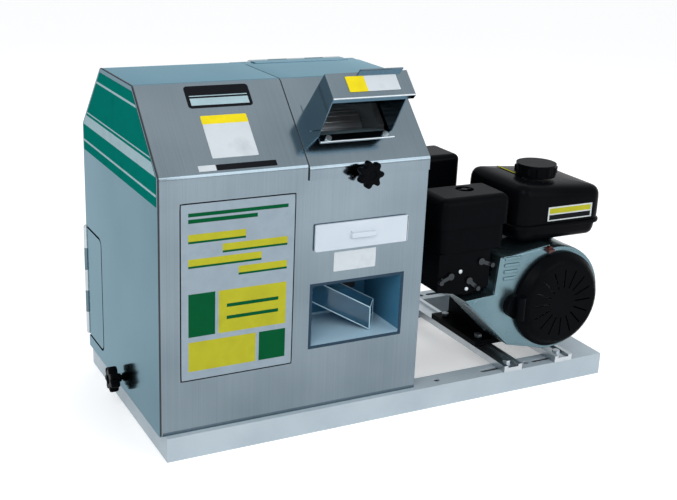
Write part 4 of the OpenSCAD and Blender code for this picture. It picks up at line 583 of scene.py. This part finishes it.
seams = {
    "wall": 0.3,
    "runs": {  # two edges, lift, and the lift at which it ends under the eave
        "left_edge_seam": ((0.3, 2.7), 0.95, None),
        "middle_seam": ((235.6, 238.4), 0.1, 0.1),
    },
}
for name, (edges, lift, hem) in seams["runs"].items():
    path = filletPath(hoodPath({**cabinet, "hem": cabinet["flange"]}, lift, hem=hem), cabinet["bend"])
    sheet = foldedSheet(np.array(edges), path)
    gridPiece(name, sheet, "darkSeam", "frame", thick=seams["wall"])
print("skins and seams made")


# plain coloured plates and stickers, without writing
printFilm = {
    "fade": 26, "fadeDetail": 5.0, "freshAt": 0.3, "fadedAt": 0.8, "fadeTo": 0.9,
    "scuff": 260, "scuffDetail": 3.0,
    "rough": (0.27, 0.52), "relief": 0.04, "depth": 0.0002,
    "dust": [(0.30, (0.90, 0.90, 0.90)), (0.55, (1.0, 1.0, 1.0)), (0.75, (0.86, 0.87, 0.88))],
}


def printedFinish(name, ground, blocks):
    # colour blocks on the plate's own UV map: (left, low, right, high, colour), later ones on top
    finish, nodes, links, shader = newFinish(name, Specular_IOR_Level=0.0)
    uv = nodes.new("ShaderNodeUVMap")
    uv.uv_map = "UVMap"
    split = nodes.new("ShaderNodeSeparateXYZ")
    links.new(uv.outputs["UV"], split.inputs["Vector"])
    fade = grainOn(finish, (printFilm["fade"],) * 3, printFilm["fadeDetail"])
    scuff = grainOn(finish, (printFilm["scuff"],) * 3, printFilm["scuffDetail"])
    faded = tuple(printFilm["fadeTo"] * c for c in ground)
    colour = rampOf(finish, fade, [(printFilm["freshAt"], ground), (printFilm["fadedAt"], faded)])
    for left, low, right, high, paint in blocks:
        hits = []
        for axis, a, b in (("X", left, right), ("Y", low, high)):
            hit = nodes.new("ShaderNodeMath")
            hit.operation = "COMPARE"
            hit.inputs[1].default_value, hit.inputs[2].default_value = (a + b) / 2, (b - a) / 2
            links.new(split.outputs[axis], hit.inputs[0])
            hits.append(hit.outputs[0])
        inside = nodes.new("ShaderNodeMath")
        inside.operation = "MULTIPLY"
        links.new(hits[0], inside.inputs[0])
        links.new(hits[1], inside.inputs[1])
        colour = mixOver(finish, colour, inside.outputs[0], paint)
    worn = nodes.new("ShaderNodeMix")  # faint dust and rubbed spots over every ink
    worn.data_type, worn.blend_type = "RGBA", "MULTIPLY"
    worn.inputs["Factor"].default_value = 1.0
    links.new(colour, worn.inputs[6])
    links.new(rampOf(finish, fade, printFilm["dust"]), worn.inputs[7])
    links.new(worn.outputs[2], shader.inputs["Base Color"])
    links.new(rangeOf(finish, scuff, *printFilm["rough"]), shader.inputs["Roughness"])
    bumpOf(finish, scuff, printFilm["relief"], printFilm["depth"])
    return finish


inks = {
    "silver": (0.29, 0.36, 0.42), "leaf": (0.43, 0.42, 0.03), "forest": (0.004, 0.085, 0.03),
    "pale": (0.55, 0.60, 0.60), "teal": (0.002, 0.180, 0.148), "white": (0.60, 0.66, 0.70),
    "yellow": (0.80, 0.66, 0.02), "ink": (0.012, 0.013, 0.016), "frost": (0.36, 0.50, 0.55),
}
bands = [  # left, low, right: broad bands at either side, each over a thin dark one
    (0.07, 0.780, 0.56), (0.36, 0.712, 0.93), (0.07, 0.644, 0.70), (0.50, 0.576, 0.93),
]
thin, broad = 0.012, 0.050
stripes = [(left, low + thin, right, low + broad, "leaf") for left, low, right in bands]
shades = [(left, low, right, low + thin, "forest") for left, low, right in bands]
frontLabel = [
    (0, 0, 1, 1, "ink"), (0.010, 0.007, 0.990, 0.993, "silver"),
    (0.07, 0.925, 0.93, 0.945, "forest"), (0.07, 0.890, 0.66, 0.912, "forest"),
    *stripes, *shades,
    (0.07, 0.255, 0.30, 0.500, "forest"), (0.33, 0.255, 0.93, 0.500, "leaf"),
    (0.07, 0.055, 0.66, 0.225, "leaf"), (0.69, 0.055, 0.93, 0.225, "forest"),
    (0.40, 0.330, 0.86, 0.350, "forest"), (0.40, 0.400, 0.86, 0.420, "forest"),
]
prints = {  # ground ink, then blocks as left, low, right, high and ink on the plate's own square
    "frontLabel": ("silver", frontLabel),
    "sideField": ("teal", [
        (0, 0.30, 1, 0.42, "frost"), (0, 0.45, 1, 0.465, "frost"),
        (0, 0.10, 1, 0.125, "frost"), (0, 0.86, 1, 0.885, "frost"),
    ]),
    "slopeBadge": ("ink", [(0.05, 0.12, 0.95, 0.44, "frost"), (0.05, 0.52, 0.95, 0.56, "frost")]),
    "noticeSheet": ("white", [(0, 0.80, 1, 1, "yellow")]),
    "darkStrip": ("ink", []),
    "whiteSticker": ("white", []),
    "hopperSticker": ("white", [(0, 0, 0.36, 1, "yellow")]),
    "tankLabel": ("ink", [
        (0.02, 0.05, 0.98, 0.95, "pale"), (0.05, 0.52, 0.95, 0.86, "leaf"), (0.05, 0.12, 0.95, 0.44, "ink"),
    ]),
    "stripLabel": ("ink", [(0.03, 0.2, 0.97, 0.8, "leaf")]),
}
for name, (ground, rows) in prints.items():
    blocks = [(*row[:4], inks[row[4]]) for row in rows]
    finishes[name] = printedFinish(name, inks[ground], blocks)

plateFilm = {"lift": 0.06, "thick": 0.25}
right, upright = np.array([1.0, 0.0, 0.0]), np.array([0.0, 0.0, 1.0])
eaveLine = np.array([0.0, 0.0, cabinet["eave"]]) + slopeOut * (cabinet["proud"] + plateFilm["lift"])


def onHood(x, run):
    # a corner on the left hood's slope, from the cabinet's left and up from the eave
    return eaveLine + right * x + slopeUp * run


plates = {  # lower left corner, way up, size, corner radius, finish
    "front_label": ((33, -0.12, 125), upright, (185, 280), 1.5, "frontLabel"),
    "slope_badge": (onHood(77, 112), slopeUp, (103, 39), 5.0, "slopeBadge"),
    "notice_sheet": (onHood(90, 25), slopeUp, (73, 73), 1.0, "noticeSheet"),
    "dark_strip": (onHood(92, 5), slopeUp, (95, 9.5), 0.6, "darkStrip"),
    "strip_square": (onHood(64, 5), slopeUp, (27, 9.5), 0.6, "whiteSticker"),
    "drawer_sticker": ((286, -0.10, 270), upright, (75, 32), 1.0, "whiteSticker"),
}
for name, (corner, up, size, radius, finish) in plates.items():
    sheet = plateOn(corner, right, up, size, radius)
    gridPiece(name, sheet, finish, "frame", thick=-plateFilm["thick"])

gable = {"low": 402.0, "high": 549.0, "inset": 5.0, "x": -0.10, "steps": 41}


def gableField(spec):
    # rows between the gable's two edges, which close in above the eave
    heights, shares = np.linspace(spec["low"], spec["high"], spec["steps"]), np.linspace(0, 1, spec["steps"])
    t, s = np.meshgrid(heights, shares, indexing="ij")
    edge = np.maximum(t - cabinet["eave"], 0) + spec["inset"]
    y = (cabinet["depth"] - edge) * (1 - s) + edge * s
    return np.stack([np.full_like(y, spec["x"]), y, t], axis=-1).transpose(1, 0, 2)


gridPiece("side_field", gableField(gable), "sideField", "frame", thick=-plateFilm["thick"])
print("plates and stickers made:", len(plates) + 1)


# rounded engine pieces
def roundedRing(size, inset, radius, steps=12, smallest=0.5):
    # a rounded rectangle walked once round, drawn in by the inset; corner arcs keep their centres
    w, d = size[0] / 2, size[1] / 2
    turn = np.linspace(0, math.pi / 2, steps)
    ring = []
    for k, (sx, sy) in enumerate(((1, 1), (-1, 1), (-1, -1), (1, -1))):
        angle = turn + k * math.pi / 2
        r = max(radius - inset, smallest)
        middle = np.array([sx * max(w - inset - r, 0.0), sy * max(d - inset - r, 0.0)])
        ring.append(middle + r * np.stack([np.cos(angle), np.sin(angle)], axis=-1))
    return np.concatenate(ring)


tank = {
    "corner": (648.0, 12.0), "size": (184.0, 170.0), "radius": 25.0,
    "seam": 294.0, "top": 372.0, "fall": 15.0,
    "profile": [  # inset and height, from the middle of the bottom to the middle of the top
        (84, 266), (40, 266), (17, 266.4), (11, 268), (7, 272), (4.5, 279), (3, 290),
        (-2.5, 291), (-3, 292), (-3, 296), (-2.5, 297), (1, 298), (0.2, 303), (0, 320), (0.1, 346),
        (0.8, 353.5), (2.6, 359.5), (5.4, 364), (9.2, 367.2), (14, 369.2), (22, 370.6), (40, 371.5),
        (62, 372), (84, 372),
    ],
}


def tankSurface(spec):
    # rounded rectangles stacked along the profile; everything above the seam leans with the falling top
    rows = np.stack([roundedRing(spec["size"], inset, spec["radius"]) for inset, _ in spec["profile"]])
    z = np.broadcast_to(np.array([h for _, h in spec["profile"]], float)[:, None], rows.shape[:2])
    lean = np.clip((z - spec["seam"]) / (spec["top"] - spec["seam"]), 0, 1) * spec["fall"]
    z = z - lean * (rows[..., 0] / spec["size"][0] + 0.5)
    middle = np.array(spec["corner"]) + np.array(spec["size"]) / 2
    return np.concatenate([rows + middle, z[..., None]], axis=-1)


def closeEnds(points):
    # one more row at each end, gathered at that row's middle
    first, last = points[:1].mean(axis=1, keepdims=True), points[-1:].mean(axis=1, keepdims=True)
    return np.concatenate([np.repeat(first, points.shape[1], 1), points, np.repeat(last, points.shape[1], 1)])


gridPiece(
    "tank_shell", closeEnds(tankSurface(tank)), "blackPaint", "frame", wrap=(False, True),
    crease=50, replaced=["fuel_tank"],
)

shroud = {
    "centre": (736.0, 160.0), "front": 6.0, "round": 96.6, "hole": 80.0, "back": 30.0, "bend": 7.0,
    "bendSteps": 7, "proud": 0.6, "soften": 2, "softest": 0.8, "sheet": 0.5,
    "arm": [(-190, 20), (-130, 24), (-124, 90), (-20, 102), (0, 0), (-26, -92), (-93, -76)],
}


def shroudOutline(spec, steps=240):
    # farther of a circle and the arm's edges along each ray from the crank, then softened along the ring
    turn = np.linspace(0, 2 * math.pi, steps, endpoint=False)
    ray = np.stack([np.cos(turn), np.sin(turn)], axis=-1)
    reach = np.full(steps, spec["round"])
    arm, tiny = np.array(spec["arm"], float), 1e-9
    for a, b in zip(arm, np.roll(arm, -1, axis=0)):
        edge = b - a
        cross = ray[:, 0] * edge[1] - ray[:, 1] * edge[0]
        safe = np.where(np.abs(cross) < tiny, tiny, cross)
        far = (a[0] * edge[1] - a[1] * edge[0]) / safe
        share = (a[0] * ray[:, 1] - a[1] * ray[:, 0]) / safe
        hit = (share >= 0) & (share <= 1) & (far > 0)
        reach = np.where(hit, np.maximum(reach, far + spec["proud"]), reach)
    near = range(-spec["soften"], spec["soften"] + 1)
    soft = np.stack([np.roll(reach, k) for k in near]).mean(axis=0)
    return ray, np.minimum(soft, reach + spec["softest"])


def shroudSurface(spec):
    # outline rows: the wall, a quarter round into the front face, and the face in to the hole
    ray, reach = shroudOutline(spec)
    arc = np.linspace(0, math.pi / 2, spec["bendSteps"])
    inset = np.concatenate([[0.0], spec["bend"] * (1 - np.cos(arc))])
    face = spec["front"] - spec["proud"]
    y = np.concatenate([[spec["back"]], face + spec["bend"] * (1 - np.sin(arc)), [face]])
    radius = np.concatenate([reach - inset[:, None], np.full((1, len(reach)), spec["hole"])])
    x = spec["centre"][0] + radius * ray[:, 0]
    z = spec["centre"][1] + radius * ray[:, 1]
    return np.stack([x, np.broadcast_to(y[:, None], x.shape), z], axis=-1)


gridPiece(
    "shroud_skin", shroudSurface(shroud), "castAluminium", "frame", wrap=(False, True),
    thick=shroud["sheet"],
)


def domedBolt(middle, axis, radius, height, rings=9, steps=20):
    # a flattened half ball on an upright wall: ring radius falls as the cosine of its rise
    axis = np.array(axis, float)
    side = unit(np.cross(axis, upright))
    other = np.cross(axis, side)
    rise = np.linspace(0, math.pi / 2, rings)[:, None, None]
    turn = np.linspace(0, 2 * math.pi, steps, endpoint=False)[None, :, None]
    ball = radius * np.cos(rise) * (np.cos(turn) * side + np.sin(turn) * other) + height * np.sin(rise) * axis
    return np.array(middle) + ball


coverBolts = {"places": [(503, 220), (538, 232), (553, 199)], "radius": 4.2, "height": 3.0, "face": 16.0}
for i, (x, z) in enumerate(coverBolts["places"]):
    dome = domedBolt((x, coverBolts["face"], z), (0, -1, 0), coverBolts["radius"], coverBolts["height"])
    gridPiece(f"cover_bolt_{i}", closeEnds(dome), "zincSteel", "frame", wrap=(False, True))

knob = {
    "lobes": 7, "root": 18.7, "swell": 3.2, "sharp": 0.7, "steps": 168, "stud": 4.0,
    "head": [  # height off the seat, share of the lobed outline
        (6.0, 0.62), (6.0, 0.84), (6.6, 0.93), (8.0, 0.985), (10.0, 1.0),
        (17.2, 1.0), (19.2, 0.985), (20.5, 0.93), (21.0, 0.84), (21.0, 0.62),
    ],
    "collar": [(0.0, 7.0), (5.6, 7.2), (6.0, 8.6)],  # height, radius
    "dish": [(21.0, 8.2), (20.4, 7.4), (19.2, 7.0), (19.0, 5.6)],
    "places": {  # middle of the seat, axis outwards, first lobe, stud length
        "lid_knob": ((329.0, -12.0, 430.0), (0, -1, 0), (1, 0, 0), 22.0),
        "side_knob": ((-2.0, 190.0, 58.0), (-1, 0, 0), (0, 0, 1), 12.0),
    },
}


def starKnob(spec, seat, axis, first, stud):
    # rings stacked along the axis: plain circles for stud, collar and dish, a seven-fold cosine for the head
    axis, first = np.array(axis, float), np.array(first, float)
    other = np.cross(axis, first)
    turn = np.linspace(0, 2 * math.pi, spec["steps"], endpoint=False)
    wave = np.cos(spec["lobes"] * turn)
    lobed = spec["root"] + spec["swell"] * np.sign(wave) * np.abs(wave) ** spec["sharp"]
    rows = [(-stud, np.full_like(turn, spec["stud"])), (0.0, np.full_like(turn, spec["stud"]))]
    rows += [(d, np.full_like(turn, r)) for d, r in spec["collar"]]
    rows += [(d, lobed * share) for d, share in spec["head"]]
    rows += [(d, np.full_like(turn, r)) for d, r in spec["dish"]]
    ring = np.cos(turn)[:, None] * first + np.sin(turn)[:, None] * other
    d = np.array([row[0] for row in rows])[:, None, None]
    r = np.stack([row[1] for row in rows])[..., None]
    return closeEnds(np.array(seat) + d * axis + r * ring)


for name, place in knob["places"].items():
    gridPiece(
        name + "_star", starKnob(knob, *place), "blackPlastic", name, wrap=(False, True),
        crease=45, replaced=[name],
    )

mufflerGuard = {
    "corner": (560.0, 206.0), "size": (92.0, 86.0), "radius": 11.0, "foot": 306.5, "top": 382.0, "sheet": 1.6,
    "slotSpan": (324.0, 360.0), "slotEvery": 4, "sideSteps": 26, "cornerSteps": 12,
    "bendSteps": 9, "support": 0.6, "topInsets": (12.0, 30.0), "slotMargin": 2,
}


def guardSurface(spec):
    # rounded rectangles up a straight wall, round a quarter bend and in to one point amid the top
    bend = np.linspace(0, math.pi / 2, spec["bendSteps"])[1:]
    lowest, slotLow, slotHigh, wallTop = spec["foot"], *spec["slotSpan"], spec["top"] - spec["radius"]
    slotMiddle = (slotLow + slotHigh) / 2
    wall = np.array([lowest, slotLow, slotMiddle, slotHigh, wallTop - spec["support"], wallTop])
    inset = np.concatenate([np.zeros_like(wall), spec["radius"] * (1 - np.cos(bend)), spec["topInsets"]])
    flat = np.full(len(spec["topInsets"]), spec["top"])
    height = np.concatenate([wall, wallTop + spec["radius"] * np.sin(bend), flat])
    n = spec["cornerSteps"]
    side = np.linspace(0, 1, spec["sideSteps"])[1:-1]
    spot = np.concatenate([np.concatenate([np.arange(n), n - 1 + side]) + k * n for k in range(4)])
    rings = np.stack([roundedRing(spec["size"], i, spec["radius"], n) for i in inset])
    rings = np.concatenate([rings, rings[:, :1]], axis=1)
    low = np.floor(spot).astype(int)
    share = (spot - low)[:, None]
    rings = rings[:, low] * (1 - share) + rings[:, low + 1] * share
    middle = np.array(spec["corner"]) + np.array(spec["size"]) / 2
    z = np.broadcast_to(height[:, None, None], (*rings.shape[:2], 1))
    points = np.concatenate([rings + middle, z], axis=-1)
    peak = np.broadcast_to([*middle, spec["top"]], (1, points.shape[1], 3))
    points = np.concatenate([points, peak])
    keep = np.ones((points.shape[0] - 1, points.shape[1]), bool)
    for k in (1, 3):  # slots in the two sides that face across the engine
        start = k * len(spot) // 4 + n - 1
        first, last = start + spec["slotMargin"], start + spec["sideSteps"] - spec["slotMargin"]
        keep[1:3, first:last:spec["slotEvery"]] = False
    return points, keep


points, keep = guardSurface(mufflerGuard)
gridPiece(
    "muffler_guard_skin", points, "blackPaint", bodyOf["muffler_guard"],
    wrap=(False, True), keep=keep, thick=mufflerGuard["sheet"], replaced=["muffler_guard"],
)
print("engine pieces and knobs made")


# beads in lighter colours as painted highlights on the hopper's lips and the chute's edges, stickers on the
# hopper and tank, and a dark plate as painted shade in the niche's mouth
def roundBar(ends, middle, radius, steps=12):
    # a thin rod along x: circles of one radius, drawn to a point at both ends
    x = np.array([ends[0], ends[0], ends[1], ends[1]], float)
    r = np.array([0.0, radius, radius, 0.0])
    turn = np.linspace(0, 2 * math.pi, steps, endpoint=False)
    y = middle[0] + r[:, None] * np.cos(turn)
    z = middle[1] + r[:, None] * np.sin(turn)
    return np.stack([np.broadcast_to(x[:, None], y.shape), y, z], axis=-1)


# rods in the lighter zinc steel along the hopper's lips: a painted highlight on the edges, whose rounds also
# catch the lamps
hopperLipHighlightBeads = {
    "radius": 1.5,
    "beads": {  # ends along x, run up the slope, height off it
        "brow_bead": ((268.0, 410.0), 63.2, 79.2),
        "foot_bead": ((268.0, 398.0), 37.4, 1.6),
    },
}
for name, (ends, run, off) in hopperLipHighlightBeads["beads"].items():
    bar = roundBar(ends, slopeSpot(run, off), hopperLipHighlightBeads["radius"])
    gridPiece(name, bar, "zincSteel", "lid", wrap=(False, True))

stickerFilm = 0.3
stickers = {  # corner, along, up, size, corner radius, finish, body, slot
    "hopper_sticker": (
        (299.0, *slopeSpot(73, 80.3)), right, slopeUp, (88, 28), 1.0, "hopperSticker", "lid", "cabinet_steel",
    ),
    "tank_label": (
        (707, 11.6, 302), right, upright, (100, 28), 1.5, "tankLabel", "frame", "black_paint",
    ),
    "tank_strip": (
        (704, 88, 367.7), (0, 1, 0), (-1, 0, 0.0815), (68, 8), 0.8, "stripLabel", "frame", "black_paint",
    ),
}
for name, (corner, along, up, size, radius, finish, body, slot) in stickers.items():
    sheet = plateOn(corner, along, up, size, radius)
    gridPiece(name, sheet, finish, body, thick=-stickerFilm)

# a dark plate on the niche's back wall: painted shade standing for the dark opening behind it
mouth = {"corner": (318.0, 114.3, 190.0), "size": (72.0, 56.0), "radius": 2.0, "sheet": 0.3}
sheet = plateOn(mouth["corner"], right, upright, mouth["size"], mouth["radius"])
gridPiece("niche_mouth_painted_shade", sheet, "darkSeam", "frame", thick=mouth["sheet"])

# pale rods along the chute's edges: painted highlight where the clear acrylic's edges catch the light
chuteEdges = {
    "foot": (382.2, 40.12, 149.0), "turn": 144.0, "length": 100.0, "rise": 40.0, "width": 40.0,
    "radius": 0.9, "inset": 0.3, "lift": 1.2, "skew": (0.3, 0.5, 0.8),
    "runs": {  # ends as shares of length, half width and height
        "near_rim": ((0, 1, 1), (1, 1, 1)), "far_rim": ((0, -1, 1), (1, -1, 1)),
        "lip_rim": ((0, -1, 1), (0, 1, 1)), "near_foot": ((0, 1, 0), (1, 1, 0)),
        "lip_foot": ((0, -1, 0), (0, 1, 0)), "near_post": ((0, 1, 0), (0, 1, 1)),
        "far_post": ((0, -1, 0), (0, -1, 1)),
    },
}


def chuteSpot(spec, far, side, high):
    # a place on the chute's edges from its shares of length, half width and height, set in a little
    turn, inset, lift = math.radians(spec["turn"]), spec["inset"], spec["lift"]
    ahead = np.array([math.cos(turn), math.sin(turn), 0.0]) * (inset + far * (spec["length"] - 2 * inset))
    aside = np.array([-math.sin(turn), math.cos(turn), 0.0]) * side * (spec["width"] / 2 - inset)
    height = far * spec["rise"] + lift + high * (spec["width"] - lift - inset)
    return np.array(spec["foot"]) + ahead + aside + upright * height


def edgeBead(spec, ends, steps=10):
    # circles of one radius from end to end of a chute edge, drawn to a point at both ends
    a, b = (chuteSpot(spec, *shares) for shares in ends)
    axis = unit(b - a)
    first = unit(np.cross(axis, spec["skew"]))
    other = np.cross(axis, first)
    angle = np.linspace(0, 2 * math.pi, steps, endpoint=False)[:, None]
    ring = (np.cos(angle) * first + np.sin(angle) * other) * spec["radius"]
    return np.stack([a + 0 * ring, a + ring, b + ring, b + 0 * ring])


for name, ends in chuteEdges["runs"].items():
    bead = edgeBead(chuteEdges, ends)
    gridPiece("chute_" + name, bead, "acrylicEdge", "chute", wrap=(False, True))
print("beads and stickers made")
